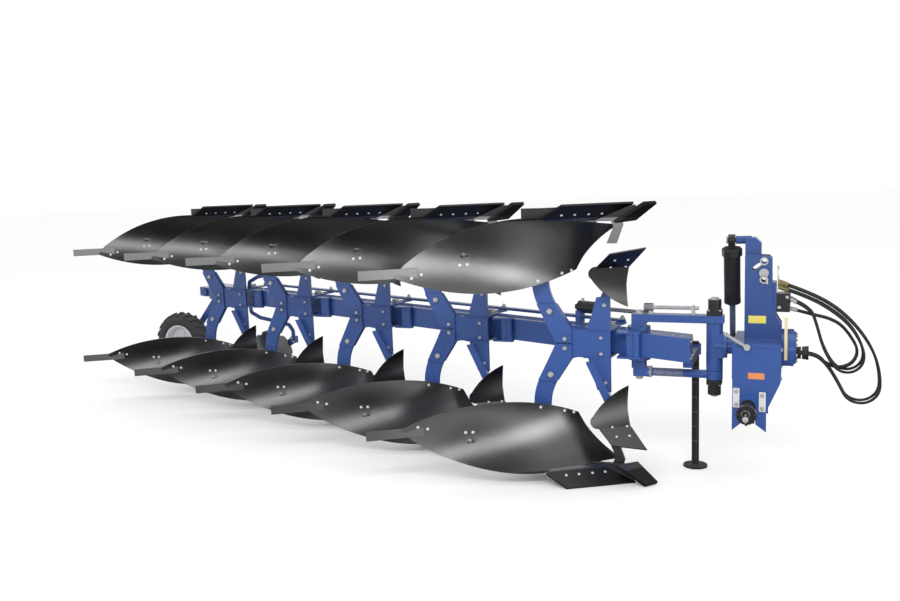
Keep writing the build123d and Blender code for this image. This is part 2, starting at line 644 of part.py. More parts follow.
def make_tie_rod():
    first = CARRIER_PIVOT_BACK
    last = CARRIER_PIVOT_BACK + (FURROWS - 1) * ROW_STEP
    under = BEAM_SIZE / 2 + YOKE_GAP + YOKE
    with BuildPart() as rod:
        with BuildSketch(beam_plane(under, LEVER)):
            with Locations(((first + last) / 2, 0.0)):
                SlotCenterToCenter(last - first, 46.0)
        extrude(amount=18.0)
        with BuildSketch(beam_plane(under + 1.0, LEVER)):
            with Locations(*[(CARRIER_PIVOT_BACK + index * ROW_STEP, 0.0) for index in range(FURROWS)]):
                Circle(12.0)
        extrude(amount=-YOKE - 4.0)
    save(rod.part, "tie_rod")


def make_front_linkage():
    with BuildPart() as pivot:
        with BuildSketch(level(0.0)):
            with Locations((FRONT_PIVOT_X, FRONT_PIVOT_Y)):
                Circle(28.0)
        extrude(amount=120.0, both=True)
        for height, thick in ((BEAM_SIZE / 2 + 4.0, 28.0), (-BEAM_SIZE / 2 - 4.0, -28.0)):
            with BuildSketch(level(height)):
                with Locations((FRONT_PIVOT_X, FRONT_PIVOT_Y)):
                    Circle(72.0)
            extrude(amount=thick)
        with BuildSketch(level(100.0)):
            with Locations((FRONT_PIVOT_X, FRONT_PIVOT_Y)):
                Rectangle(84.0, 84.0)
        extrude(amount=ARM_HEIGHT - ARM_TALL / 2 - 100.0)
        with BuildSketch(level(-100.0)):
            with Locations((FRONT_PIVOT_X, FRONT_PIVOT_Y)):
                Rectangle(84.0, 84.0)
        extrude(amount=-(LOWER_ARM_DEPTH - 27.0 - 100.0))
        with BuildSketch(level(ARM_HEIGHT - ARM_TALL / 2 - 16.0)):
            with BuildLine():
                Polyline(
                    (FRONT_PIVOT_X - 40, FRONT_PIVOT_Y + 10), (FRONT_PIVOT_X + 40, FRONT_PIVOT_Y - 10),
                    (ROD_EYE_X + 24, ROD_EYE_Y), (ROD_EYE_X - 24, ROD_EYE_Y + 10), close=True,
                )
            make_face()
            with Locations((ROD_EYE_X, ROD_EYE_Y)):
                Circle(24.0)
        extrude(amount=14.0)
        with BuildSketch(level(ARM_HEIGHT - ARM_TALL / 2 - 6.0)):
            with Locations((ROD_EYE_X, ROD_EYE_Y)):
                Circle(11.0)
        extrude(amount=75.0)
    save(pivot.part, "front_pivot")
    with BuildPart() as arms:
        middle = (FRONT_PIVOT_X - 42.0 + HEAD_X + 57.0) / 2
        with BuildSketch(level(ARM_HEIGHT)):
            with Locations((middle, FRONT_PIVOT_Y)):
                Rectangle(ARM_REACH + 99.0, ARM_WIDE)
            with Locations((HEAD_X, FRONT_PIVOT_Y)):
                Circle(26.0, mode=Mode.SUBTRACT)
        extrude(amount=ARM_TALL / 2, both=True)
        with BuildSketch(Plane(origin=(FRONT_PIVOT_X - 34.0, FRONT_PIVOT_Y, AXIS_HEIGHT - LOWER_ARM_DEPTH),
                               x_dir=(0, 1, 0), z_dir=(1, 0, 0))):
            Rectangle(70.0, 54.0)
        extrude(amount=100.0)
        with BuildSketch(Plane(origin=(FRONT_PIVOT_X + 60.0, FRONT_PIVOT_Y, AXIS_HEIGHT - LOWER_ARM_DEPTH),
                               x_dir=(0, 1, 0), z_dir=(1, 0, 0))):
            Circle(26.0)
        extrude(amount=ARM_REACH - 80.0)
        with BuildSketch(level(-LOWER_ARM_DEPTH)):
            with Locations((HEAD_X, FRONT_PIVOT_Y)):
                Circle(50.0)
        extrude(amount=27.0, both=True)
        with BuildSketch(level(-LOWER_ARM_DEPTH)):
            with Locations((HEAD_X, FRONT_PIVOT_Y)):
                Circle(26.0)
        extrude(amount=40.0, both=True, mode=Mode.SUBTRACT)
    save(arms.part, "link_arms")
    with BuildPart() as scale:
        for spot in (FIRST_X + 480.0, FIRST_X + 740.0):
            with BuildSketch(level(ARM_HEIGHT + ARM_TALL / 2)):
                with Locations((spot, FRONT_PIVOT_Y)):
                    Rectangle(20.0, 34.0)
            extrude(amount=52.0)
        with BuildSketch(Plane(origin=(FIRST_X + 455.0, FRONT_PIVOT_Y, AXIS_HEIGHT + 228.0),
                               x_dir=(0, 1, 0), z_dir=(1, 0, 0))):
            Circle(12.0)
        extrude(amount=320.0)
        with BuildSketch(Plane(origin=(FIRST_X + 437.0, FRONT_PIVOT_Y, AXIS_HEIGHT + 228.0),
                               x_dir=(0, 1, 0), z_dir=(1, 0, 0))):
            Circle(24.0)
        extrude(amount=60.0)
    save(scale.part, "width_scale")


def make_width_cylinder():
    axis = beam_plane(WIDTH_CYLINDER_HEIGHT, CYLINDER_SHIFT)
    back_end = axis.from_local_coords((WIDTH_BARREL_SPAN[1], 0, 0))
    with BuildPart() as barrel:
        with BuildSketch(Plane(origin=back_end, x_dir=(0, 0, 1), z_dir=(-BACK_X, -BACK_Y, 0))):
            Circle(WIDTH_BARREL)
        extrude(amount=WIDTH_BARREL_SPAN[1] - WIDTH_BARREL_SPAN[0])
        with BuildSketch(Plane(origin=back_end, x_dir=(0, 0, 1), z_dir=(-BACK_X, -BACK_Y, 0))):
            Circle(14.6)
        extrude(amount=WIDTH_BARREL_SPAN[1] - WIDTH_BARREL_SPAN[0], mode=Mode.SUBTRACT)
    save(barrel.part, "width_cylinder_barrel")
    with BuildPart() as rod:
        rod_start = axis.from_local_coords((WIDTH_BARREL_SPAN[1] - 60.0, 0, 0))
        with BuildSketch(Plane(origin=rod_start, x_dir=(0, 0, 1), z_dir=(-BACK_X, -BACK_Y, 0))):
            Circle(14.0)
        extrude(amount=WIDTH_BARREL_SPAN[1] - 60.0 - 15.0)
        with BuildSketch(beam_plane(WIDTH_CYLINDER_HEIGHT, CYLINDER_SHIFT)):
            Circle(24.0)
        extrude(amount=16.0, both=True)
        with BuildSketch(beam_plane(WIDTH_CYLINDER_HEIGHT, CYLINDER_SHIFT)):
            Circle(11.6)
        extrude(amount=40.0, both=True, mode=Mode.SUBTRACT)
    save(rod.part, "width_cylinder_rod")


def make_turning_head():
    with BuildPart() as head:
        with BuildSketch(level(-LOWER_ARM_DEPTH + 29.0)):
            with Locations((HEAD_X, HITCH_Y)):
                Circle(HEAD_POST)
        extrude(amount=LOWER_ARM_DEPTH - 29.0 + ARM_HEIGHT - ARM_TALL / 2 - 2.0)
        with BuildSketch(level(-LOWER_ARM_DEPTH - 29.0)):
            with Locations((HEAD_X, HITCH_Y)):
                Circle(25.0)
        extrude(amount=LOWER_ARM_DEPTH + 29.0 + ARM_HEIGHT + ARM_TALL / 2 + 2.0)
        shaft_plane = Plane(origin=(HEAD_X, HITCH_Y, AXIS_HEIGHT), x_dir=(0, 1, 0), z_dir=(1, 0, 0))
        with BuildSketch(shaft_plane):
            Rectangle(96.0, 150.0)
        extrude(amount=CYLINDER_X - 40.0 - HEAD_X)
        with BuildSketch(shaft_plane):
            Circle(SHAFT)
        extrude(amount=FIRST_X + 1320.0 - HEAD_X)
        with BuildSketch(shaft_plane.offset(CYLINDER_X - 40.0 - HEAD_X)):
            with BuildLine():
                Polyline((0.0, 70.0), (0.0, -70.0), (CRANK, -38.0), (CRANK, 38.0), close=True)
            make_face()
            with Locations((CRANK, 0.0)):
                Circle(38.0)
            Circle(78.0)
        extrude(amount=18.0)
        with BuildSketch(shaft_plane.offset(CYLINDER_X - 45.0 - HEAD_X)):
            with Locations((CRANK, 0.0)):
                Circle(16.0)
        extrude(amount=30.0, mode=Mode.SUBTRACT)
    save(head.part, "turning_head")
    with BuildPart() as caps:
        for base, way in ((ARM_HEIGHT + ARM_TALL / 2 + 2.0, 1), (-LOWER_ARM_DEPTH - 29.0, -1)):
            with BuildSketch(level(base)):
                with Locations((HEAD_X, HITCH_Y)):
                    RectangleRounded(92.0, 92.0, 12.0)
            extrude(amount=way * 28.0)
            with BuildSketch(level(base)):
                with Locations((HEAD_X, HITCH_Y)):
                    Circle(40.0)
            extrude(amount=way * 96.0)
    save(caps.part, "head_pivot_caps")


def make_turnover_cylinder():
    slant = radians(CYLINDER_ANGLE)
    top = (CYLINDER_X, HITCH_Y, AXIS_HEIGHT + CYLINDER_TOP)
    down = Vector(0, sin(slant), -cos(slant))
    run = Plane(origin=top, x_dir=(1, 0, 0), z_dir=down)
    with BuildPart() as barrel:
        with BuildSketch(run.offset(55.0)):
            Circle(TURN_BARREL)
        extrude(amount=TURN_BARREL_END - 55.0)
        with BuildSketch(Plane(origin=top, x_dir=(0, 1, 0), z_dir=(1, 0, 0))):
            Circle(34.0)
        extrude(amount=20.0, both=True)
        with BuildSketch(run):
            Rectangle(40.0, 44.0)
        extrude(amount=60.0)
        with BuildSketch(Plane(origin=top, x_dir=(0, 1, 0), z_dir=(1, 0, 0))):
            Circle(15.6)
        extrude(amount=40.0, both=True, mode=Mode.SUBTRACT)
        with BuildSketch(run.offset(75.0)):
            Circle(18.6)
        extrude(amount=TURN_BARREL_END, mode=Mode.SUBTRACT)
    save(barrel.part, "turnover_cylinder_barrel")
    with BuildPart() as rod:
        with BuildSketch(run.offset(TURN_ROD_TOP)):
            Circle(18.0)
        extrude(amount=CYLINDER_LENGTH - TURN_ROD_TOP - 20.0)
        eye = (CYLINDER_X, HITCH_Y + CRANK, AXIS_HEIGHT)
        with BuildSketch(Plane(origin=eye, x_dir=(0, 1, 0), z_dir=(1, 0, 0))):
            Circle(36.0)
        extrude(amount=15.0, both=True)
    save(rod.part, "turnover_cylinder_rod")


def stock_plane(shift):
    return Plane(origin=(FIRST_X, HITCH_Y + shift, AXIS_HEIGHT), x_dir=(1, 0, 0), z_dir=(0, -1, 0))


def make_stock_box():
    """Box of side, front, rear and top plates that carries the turnover bearing and the lower link shaft."""
    with BuildPart() as stock:
        for way in (-1, 1):
            with BuildSketch(stock_plane(way * (STOCK_HALF - STOCK_WALL / 2))):
                with BuildLine():
                    Polyline((1036.0, -LINK_DEPTH), (1036.0, -430.0), (987.0, -475.0), (987.0, STOCK_TOP))
                    Polyline((987.0, STOCK_TOP), (1256.0, STOCK_TOP), (1256.0, -176.0), (1180.0, -350.0))
                    Polyline((1180.0, -350.0), (1180.0, -475.0), (1120.0, -430.0), (1120.0, -LINK_DEPTH))
                    ThreePointArc((1120.0, -LINK_DEPTH), (1078.0, -LINK_DEPTH + 42.0), (1036.0, -LINK_DEPTH))
                make_face()
            extrude(amount=STOCK_WALL / 2, both=True)
        for start in (STOCK_BACK, STOCK_FRONT - STOCK_WALL):
            with BuildSketch(Plane(origin=(start, HITCH_Y, AXIS_HEIGHT - 62.0), x_dir=(0, 1, 0), z_dir=(1, 0, 0))):
                Rectangle(2 * STOCK_HALF - 10.0, 230.0)
            extrude(amount=STOCK_WALL)
        with BuildSketch(level(STOCK_TOP)):
            with Locations(((STOCK_BACK + STOCK_FRONT) / 2, HITCH_Y)):
                Rectangle(STOCK_FRONT - STOCK_BACK, 2 * STOCK_HALF)
        extrude(amount=-STOCK_WALL)
        with BuildSketch(Plane(origin=(STOCK_BACK - 30.0, HITCH_Y, AXIS_HEIGHT), x_dir=(0, 1, 0), z_dir=(1, 0, 0))):
            Circle(SHAFT + 1.0)
        extrude(amount=400.0, mode=Mode.SUBTRACT)
    save(stock.part, "headstock_box")


def make_mast():
    """Two plates with the top link holes, the web between them and the pin of the turnover cylinder."""
    with BuildPart() as mast:
        for way in (-1, 1):
            with BuildSketch(stock_plane(way * (MAST_HALF + MAST_PLATE / 2))):
                with BuildLine():
                    Polyline((1256.0, 150.0), (1256.0, STOCK_TOP), (1045.0, STOCK_TOP), (1045.0, 560.0))
                    Polyline((1045.0, 560.0), (1180.0, 557.0), (1197.0, 540.0), (1200.0, 330.0))
                    ThreePointArc((1200.0, 330.0), (1214.0, 232.0), (1256.0, 150.0))
                make_face()
                with Locations((1153.0, 417.0), (1153.0, TOP_PIN_RISE), (1153.0, 527.0)):
                    Circle(16.2, mode=Mode.SUBTRACT)
                with Locations((1112.0, 492.0)):
                    SlotOverall(62.0, 26.0, rotation=38.0, mode=Mode.SUBTRACT)
            extrude(amount=MAST_PLATE / 2, both=True)
        with BuildSketch(Plane(origin=(FIRST_X + 1045.0, HITCH_Y, AXIS_HEIGHT + 343.0),
                               x_dir=(0, 1, 0), z_dir=(1, 0, 0))):
            Rectangle(2 * MAST_HALF, 576.0)
        extrude(amount=16.0)
        with BuildSketch(stock_plane(0.0)):
            with BuildLine():
                Polyline((1045.0, 578.0), (1045.0, 666.0), (1104.0, 666.0), (1136.0, 634.0), (1136.0, 578.0), close=True)
            make_face()
        extrude(amount=MAST_HALF, both=True)
        cylinder_pin = Plane(origin=(CYLINDER_X, HITCH_Y, AXIS_HEIGHT + CYLINDER_TOP), x_dir=(0, 1, 0), z_dir=(1, 0, 0))
        with BuildSketch(cylinder_pin.offset(24.0)):
            Circle(24.0)
        extrude(amount=90.0)
        with BuildSketch(cylinder_pin.offset(-24.0)):
            Circle(15.0)
        extrude(amount=60.0)
        with BuildSketch(level(215.0)):
            with Locations((PAD_FRONT - 13.0, HITCH_Y)):
                Rectangle(26.0, 2 * MAST_HALF + 20.0)
        extrude(amount=185.0)
    save(mast.part, "headstock_mast")


def make_shaft_and_pins():
    with BuildPart() as shaft:
        with BuildSketch(stock_plane(0.0)):
            with Locations((1078.0, -LINK_DEPTH)):
                Circle(30.0)
        extrude(amount=LINK_HALF, both=True)
        for way in (-1, 1):
            with BuildSketch(stock_plane(way * (STOCK_HALF - STOCK_WALL / 2))):
                with Locations((1078.0, -LINK_DEPTH - 30.0)):
                    Rectangle(83.0, 60.0)
                with Locations((1078.0, -LINK_DEPTH)):
                    Circle(41.5)
            extrude(amount=STOCK_WALL / 2, both=True)
            with BuildSketch(stock_plane(way * (LINK_HALF - 15.0))):
                with Locations((1078.0, -LINK_DEPTH)):
                    Circle(56.0)
            extrude(amount=15.0, both=True)
            with BuildSketch(stock_plane(way * (LINK_HALF + 45.0))):
                with Locations((1078.0, -LINK_DEPTH)):
                    Circle(18.3)
            extrude(amount=47.0, both=True)
    save(shaft.part, "lower_link_shaft")
    with BuildPart() as clamps:
        for way in (-1, 1):
            with BuildSketch(stock_plane(way * (STOCK_HALF + 5.0))):
                with Locations((1011.0, -272.0), (1158.0, -290.0)):
                    RectangleRounded(38.0, 118.0, 8.0)
            extrude(amount=5.0, both=True)
            with BuildSketch(stock_plane(way * (STOCK_HALF + 10.0))):
                with Locations((1011.0, -232.0), (1011.0, -312.0), (1158.0, -250.0), (1158.0, -330.0)):
                    RegularPolygon(12.0, 6)
            extrude(amount=way * 9.0)
    save(clamps.part, "shaft_clamps")
    with BuildPart() as pin:
        with BuildSketch(stock_plane(0.0)):
            with Locations((1153.0, TOP_PIN_RISE)):
                Circle(15.9)
        extrude(amount=MAST_HALF + MAST_PLATE + 20.0, both=True)
        with BuildSketch(stock_plane(-MAST_HALF - MAST_PLATE - 1.0)):
            with Locations((1153.0, TOP_PIN_RISE)):
                Circle(27.0)
        extrude(amount=12.0)
    save(pin.part, "top_link_pin")
    with BuildPart() as lever:
        with BuildSketch(stock_plane(-STOCK_HALF)):
            with Locations((1070.0, 36.0)):
                Circle(18.0)
        extrude(amount=26.0)
        start = Vector(FIRST_X + 1070.0, HITCH_Y - STOCK_HALF - 16.0, AXIS_HEIGHT + 36.0)
        grip = Vector(FIRST_X + 940.0, HITCH_Y - STOCK_HALF - 16.0, AXIS_HEIGHT + 116.0)
        with BuildSketch(Plane(origin=start, z_dir=grip - start)):
            Circle(9.0)
        extrude(amount=(grip - start).length)
    save(lever.part, "turnover_lever")


def make_turnover_bearing():
    face = Plane(origin=(STOCK_FRONT, HITCH_Y, AXIS_HEIGHT), x_dir=(0, 1, 0), z_dir=(1, 0, 0))
    with BuildPart() as housing:
        with BuildSketch(face):
            Circle(112.0)
            Circle(SHAFT + 1.0, mode=Mode.SUBTRACT)
        extrude(amount=70.0)
        with BuildSketch(face.offset(70.0)):
            Circle(98.0)
        extrude(amount=12.0)
        with BuildSketch(Plane(origin=(FIRST_X + 1281.0, HITCH_Y - 106.0, AXIS_HEIGHT + 72.0),
                               x_dir=(1, 0, 0), z_dir=(0, -1, 0))):
            RectangleRounded(16.0, 254.0, 5.0)
        extrude(amount=8.0)
    save(housing.part, "turnover_housing")
    with BuildPart() as guide:
        for ahead, radius in ((82.0, 34.0), (GUIDE_MOUTH - STOCK_FRONT, 42.0)):
            with BuildSketch(face.offset(ahead)):
                with Locations((0.0, -GUIDE_DROP)):
                    Circle(radius)
        loft()
        with BuildSketch(face.offset(GUIDE_BOTTOM - STOCK_FRONT)):
            with Locations((0.0, -GUIDE_DROP)):
                Circle(37.8)
        extrude(amount=100.0, mode=Mode.SUBTRACT)
    save(guide.part, "hose_guide")


def coupling_lines():
    """Base, tip and direction of each brass coupling, which all lean down by the same tilt."""
    lean = Vector(cos(radians(COUPLING_TILT)), 0, -sin(radians(COUPLING_TILT)))
    lines = []
    for ahead, rise in COUPLING_TIPS:
        for way in (-1, 1):
            tip = Vector(FIRST_X + ahead, HITCH_Y + way * COUPLING_SPREAD, AXIS_HEIGHT + rise)
            base = tip - lean * ((tip.X - PAD_FRONT - 4.5) / lean.X)
            lines.append((base, tip, lean))
    return lines


def make_hydraulics():
    with BuildPart() as valve:
        with BuildSketch(level(VALVE_FOOT)):
            with Locations((PAD_FRONT + VALVE_SIZE[0] / 2, HITCH_Y)):
                Rectangle(VALVE_SIZE[0], VALVE_SIZE[1])
        extrude(amount=VALVE_SIZE[2])
    save(valve.part, "valve_block")
    with BuildPart() as fittings:
        for row in FITTINGS:
            lean = Vector(cos(radians(row["tilt"])), 0, -sin(radians(row["tilt"])))
            for way in (-1, 1):
                base = Vector(PAD_FRONT + VALVE_SIZE[0], HITCH_Y + way * row["spread"], AXIS_HEIGHT + row["rise"])
                with BuildSketch(Plane(origin=base - lean * 12.0, z_dir=lean)):
                    Circle(10.0)
                extrude(amount=FITTING_LENGTH + 12.0)
        with BuildSketch(level(VALVE_FOOT)):
            with Locations((PAD_FRONT + VALVE_SIZE[0] / 2, HITCH_Y)):
                Rectangle(VALVE_SIZE[0], VALVE_SIZE[1])
        extrude(amount=VALVE_SIZE[2], mode=Mode.SUBTRACT)
    save(fittings.part, "valve_fittings")
    with BuildPart() as couplings:
        for base, tip, lean in coupling_lines():
            with BuildSketch(Plane(origin=base, z_dir=lean)):
                Circle(COUPLING_RADIUS)
            extrude(amount=(tip - base).length)
    save(couplings.part, "hose_couplings")
    with BuildPart() as bracket:
        with BuildSketch(Plane(origin=(PAD_FRONT, HITCH_Y, AXIS_HEIGHT + 413.0), x_dir=(0, 1, 0), z_dir=(1, 0, 0))):
            RectangleRounded(110.0, 154.0, 10.0)
        extrude(amount=BRACKET_THICK)
        for base, tip, lean in coupling_lines():
            with BuildSketch(Plane(origin=base - lean * 10.0, z_dir=lean)):
                Circle(COUPLING_RADIUS)
            extrude(amount=40.0, mode=Mode.SUBTRACT)
    save(bracket.part, "coupling_bracket")


def hose_points(route, way):
    return [Vector(FIRST_X + x, HITCH_Y + way * y, AXIS_HEIGHT + z) for x, z, y in route]


def bend_radii(points):
    """Radius at each inner point: as large as the shorter of its two runs allows."""
    radii = []
    for before, corner, after in zip(points, points[1:], points[2:]):
        turn = radians((corner - before).get_angle(after - corner))
        shorter = min((corner - before).length, (after - corner).length)
        radii.append(0.45 * shorter / tan(turn / 2))
    return radii


def make_hose(name, route, way):
    points = hose_points(route, way)
    with BuildPart() as hose:
        with BuildLine() as path:
            FilletPolyline(*points, radius=bend_radii(points))
        with BuildSketch(Plane(origin=points[0], z_dir=points[1] - points[0])):
            Circle(HOSE / 2)
        sweep()
    side = "left" if way > 0 else "right"
    save(hose.part, f"hose_{name}_{side}")
    return hose.part, path.line, bend_radii(points)


def make_wheel():
    hub_plane = Plane(origin=(WHEEL_X, WHEEL_Y, WHEEL_RADIUS), x_dir=(1, 0, 0), z_dir=(0, 1, 0))
    section = Plane(origin=(WHEEL_X, WHEEL_Y, WHEEL_RADIUS), x_dir=(0, 1, 0), z_dir=(1, 0, 0))
    axle = Axis((WHEEL_X, WHEEL_Y, WHEEL_RADIUS), (0, 1, 0))
    half = WHEEL_WIDTH / 2
    tread = WHEEL_RADIUS - LUG_HEIGHT
    shoulder = tread - 18.0
    with BuildPart() as tyre:
        with BuildSketch(section):
            with BuildLine():
                Polyline((-half + 18, RIM_RADIUS), (-half + 4, 208.0), (-half, 225.0))
                ThreePointArc((-half, 225.0), (-half + 3, 258.0), (-half + 22, shoulder))
                ThreePointArc((-half + 22, shoulder), (0.0, tread), (half - 22, shoulder))
                ThreePointArc((half - 22, shoulder), (half - 3, 258.0), (half, 225.0))
                Polyline((half, 225.0), (half - 4, 208.0), (half - 18, RIM_RADIUS), (-half + 18, RIM_RADIUS))
            make_face()
        revolve(axis=axle)
        with BuildPart(mode=Mode.PRIVATE) as lugs:
            for number in range(LUGS):
                for way in (-1, 1):
                    turn = radians(360.0 / LUGS * (number + 0.25 * way))
                    out = Vector(sin(turn), 0, cos(turn))
                    forward = Vector(cos(turn), 0, -sin(turn))
                    origin = Vector(WHEEL_X, WHEEL_Y, WHEEL_RADIUS) + out * (tread - 24.0)
                    with BuildSketch(Plane(origin=origin, x_dir=forward, z_dir=out)):
                        with BuildLine():
                            Polyline(
                                (-11.0, -way * 4.0), (13.0, -way * 4.0), (-26.0, -way * (half - 6)),
                                (-56.0, -way * (half - 6)), close=True,
                            )
                        make_face()
                    extrude(amount=60.0)
            with BuildSketch(section):
                with BuildLine():
                    Line((-half + 6, shoulder - 26), (-half + 6, shoulder + 6))
                    ThreePointArc((-half + 6, shoulder + 6), (0.0, WHEEL_RADIUS), (half - 6, shoulder + 6))
                    Line((half - 6, shoulder + 6), (half - 6, shoulder - 26))
                    Line((half - 6, shoulder - 26), (-half + 6, shoulder - 26))
                make_face()
            revolve(axis=axle, mode=Mode.INTERSECT)
        add(lugs.part)
    save(tyre.part, "wheel_tyre")
    with BuildPart() as rim:
        with BuildSketch(section):
            with BuildLine():
                Polyline(
                    (-half + 18, RIM_RADIUS), (half - 18, RIM_RADIUS), (half - 18, RIM_RADIUS - 10),
                    (20.0, RIM_RADIUS - 24), (20.0, 55.0), (60.0, 55.0), (60.0, 23.0), (-30.0, 23.0),
                    (-30.0, 55.0), (8.0, 55.0), (8.0, RIM_RADIUS - 24), (-half + 18, RIM_RADIUS - 10), close=True,
                )
            make_face()
        revolve(axis=axle)
    save(rim.part, "wheel_rim")
    pivot_up = ARM_PIVOT_Z - WHEEL_RADIUS
    drift = ARM_PIVOT_X - WHEEL_X
    arm_plane = Plane(origin=(WHEEL_X, ARM_Y, WHEEL_RADIUS), x_dir=(1, 0, 0), z_dir=(0, -1, 0))
    with BuildPart() as arm:
        with BuildSketch(arm_plane):
            with BuildLine():
                Polyline((-34.0, 0.0), (34.0, 0.0), (drift + 44.0, pivot_up), (drift - 44.0, pivot_up), close=True)
            make_face()
            Circle(40.0)
            with Locations((drift, pivot_up)):
                Circle(48.0)
        extrude(amount=-28.0)
        with BuildSketch(arm_plane):
            with Locations((drift, pivot_up)):
                Circle(20.0)
        extrude(amount=120.0)
        with BuildSketch(arm_plane):
            Circle(22.4)
        extrude(amount=140.0)
    save(arm.part, "wheel_arm")


def make_stand():
    with BuildPart() as stand:
        with BuildSketch(floor_plane):
            with Locations((STAND_X, STAND_Y)):
                Circle(78.0)
        extrude(amount=12.0)
        with BuildSketch(floor_plane):
            with Locations((STAND_X, STAND_Y)):
                Circle(STAND_RADIUS)
        extrude(amount=STAND_TOP)
    save(stand.part, "parking_stand")


if __name__ == "__main__":
    for number in range(FURROWS):
        make_carrier(number)
        make_legs(number)
        make_skimmers(number)
        for name in SIDES:
            make_bottom(number, name)
    for name in SIDES:
        make_disc(FURROWS - 1, name)
    make_beam()
    make_tie_rod()
    make_front_linkage()
    make_width_cylinder()
    make_turning_head()
    make_turnover_cylinder()
    make_stock_box()
    make_mast()
    make_shaft_and_pins()
    make_turnover_bearing()
    make_hydraulics()
    for name, route in HOSES.items():
        for way in (-1, 1):
            make_hose(name, route, way)
    make_wheel()
    make_stand()
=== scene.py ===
"""Looks of a five-furrow mounted reversible plough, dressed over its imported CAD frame."""

import logging
import math
from dataclasses import dataclass, field
from enum import Enum
from typing import Iterable, Sequence

import bmesh
import bpy
from mathutils import Matrix, Vector
from mathutils.bvhtree import BVHTree


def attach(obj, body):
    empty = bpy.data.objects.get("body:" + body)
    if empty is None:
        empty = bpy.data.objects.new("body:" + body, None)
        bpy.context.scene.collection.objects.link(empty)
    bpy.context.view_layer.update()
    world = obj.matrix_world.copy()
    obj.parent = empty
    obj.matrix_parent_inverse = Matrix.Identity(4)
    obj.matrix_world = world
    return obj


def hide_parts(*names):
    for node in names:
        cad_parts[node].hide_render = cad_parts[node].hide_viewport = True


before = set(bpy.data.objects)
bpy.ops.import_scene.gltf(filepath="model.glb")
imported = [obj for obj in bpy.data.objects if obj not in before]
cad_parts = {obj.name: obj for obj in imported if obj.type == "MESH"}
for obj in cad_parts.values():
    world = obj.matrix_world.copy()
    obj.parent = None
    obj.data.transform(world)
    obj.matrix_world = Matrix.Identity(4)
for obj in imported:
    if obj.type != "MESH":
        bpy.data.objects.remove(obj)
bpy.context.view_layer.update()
LOG = logging.getLogger("plough")

FURROWS = 5
MM = 0.001
BOTH = (-1, 1)
WELD_RIPPLE = 5.0
SHARP_ANGLE = math.radians(35.0)
RAY_START = 0.3

# Places in the world, in metres: first body's reference, step to the next body, turnover axis, front pivot.
AXIS_HEIGHT = 0.9
FIRST = Vector((1.900, -0.840, AXIS_HEIGHT))
STEP = Vector((-0.960, 0.403, 0.0))
HITCH = Vector((1.900, -0.740, AXIS_HEIGHT))
FRONT_PIVOT = Vector((2.305, -0.740, AXIS_HEIGHT))

# Directions: back along the beam, to its right, and out of the boards' faces.
ALONG = STEP.normalized()
ACROSS = Vector((-ALONG.y, ALONG.x, 0.0))
UP = Vector((0.0, 0.0, 1.0))
FORWARD = Vector((1.0, 0.0, 0.0))
LEFT = Vector((0.0, 1.0, 0.0))
BOARD_FACE = Vector((0.545, -0.839, 0.0))

# What every finish shares.
DUST_COLOR = (0.45, 0.43, 0.40)
DUST_SHARE = 0.5
STAIN_ROUGH = 0.16
DULL_SHADE = 0.35
DULL_ROUGH = 0.22
COAT_ROUGH = 0.08
BUMP_STRENGTH = 0.6


class Side(Enum):
    """Upper or lower half of the plough; the value is the sign of its height over the turnover axis."""

    LOWER = -1
    UPPER = 1


def mm(x: float, y: float, z: float) -> Vector:
    """Returns a vector whose parts are given in mm."""
    return Vector((x, y, z)) * MM


def furrow_point(index: int, side: Side, x: float, y: float, depth: float) -> Vector:
    """Returns the point at x ahead, y to the left and depth away from the axis of one furrow, all in mm."""
    return FIRST + STEP * index + mm(x, y, side.value * depth)


def head_point(x: float, y: float, z: float) -> Vector:
    """Returns the point at x ahead of the first body, y left of the turnover axis and z over it, all in mm."""
    return HITCH + mm(x, y, z)


def tilted(degrees: float) -> Vector:
    """Returns the direction ahead, tilted down by an angle."""
    angle = math.radians(degrees)
    return Vector((math.cos(angle), 0.0, -math.sin(angle)))


def beam_point(back: float, shift: float, height: float) -> Vector:
    """Returns the point back along the beam from the front pivot, shifted to its left side, all in mm."""
    return FRONT_PIVOT + (ALONG * back - ACROSS * shift + UP * height) * MM


def new_group(name: str, inputs: Iterable[tuple[str, float]], outputs: Iterable[str]) -> bpy.types.NodeTree:
    """Makes an empty shader node group with named float sockets.

    Args:
        name: Name of the group.
        inputs: Name and default of each input.
        outputs: Name of each output.

    Returns:
        The group, with its input and output nodes in place.
    """
    group = bpy.data.node_groups.new(name, "ShaderNodeTree")
    for label, default in inputs:
        socket = group.interface.new_socket(label, in_out="INPUT", socket_type="NodeSocketFloat")
        socket.default_value = default
    for label in outputs:
        group.interface.new_socket(label, in_out="OUTPUT", socket_type="NodeSocketFloat")
    group.nodes.new("NodeGroupInput")
    group.nodes.new("NodeGroupOutput")
    return group


def math_node(group: bpy.types.NodeTree, operation: str, *operands: object) -> bpy.types.NodeSocket:
    """Adds a math node.

    Args:
        group: Tree to add to.
        operation: Name of the operation.
        operands: Its operands, each a socket or a number.

    Returns:
        The result's socket.
    """
    node = group.nodes.new("ShaderNodeMath")
    node.operation = operation
    for socket, value in zip(node.inputs, operands):
        if isinstance(value, bpy.types.NodeSocket):
            group.links.new(value, socket)
        else:
            socket.default_value = value
    return node.outputs[0]


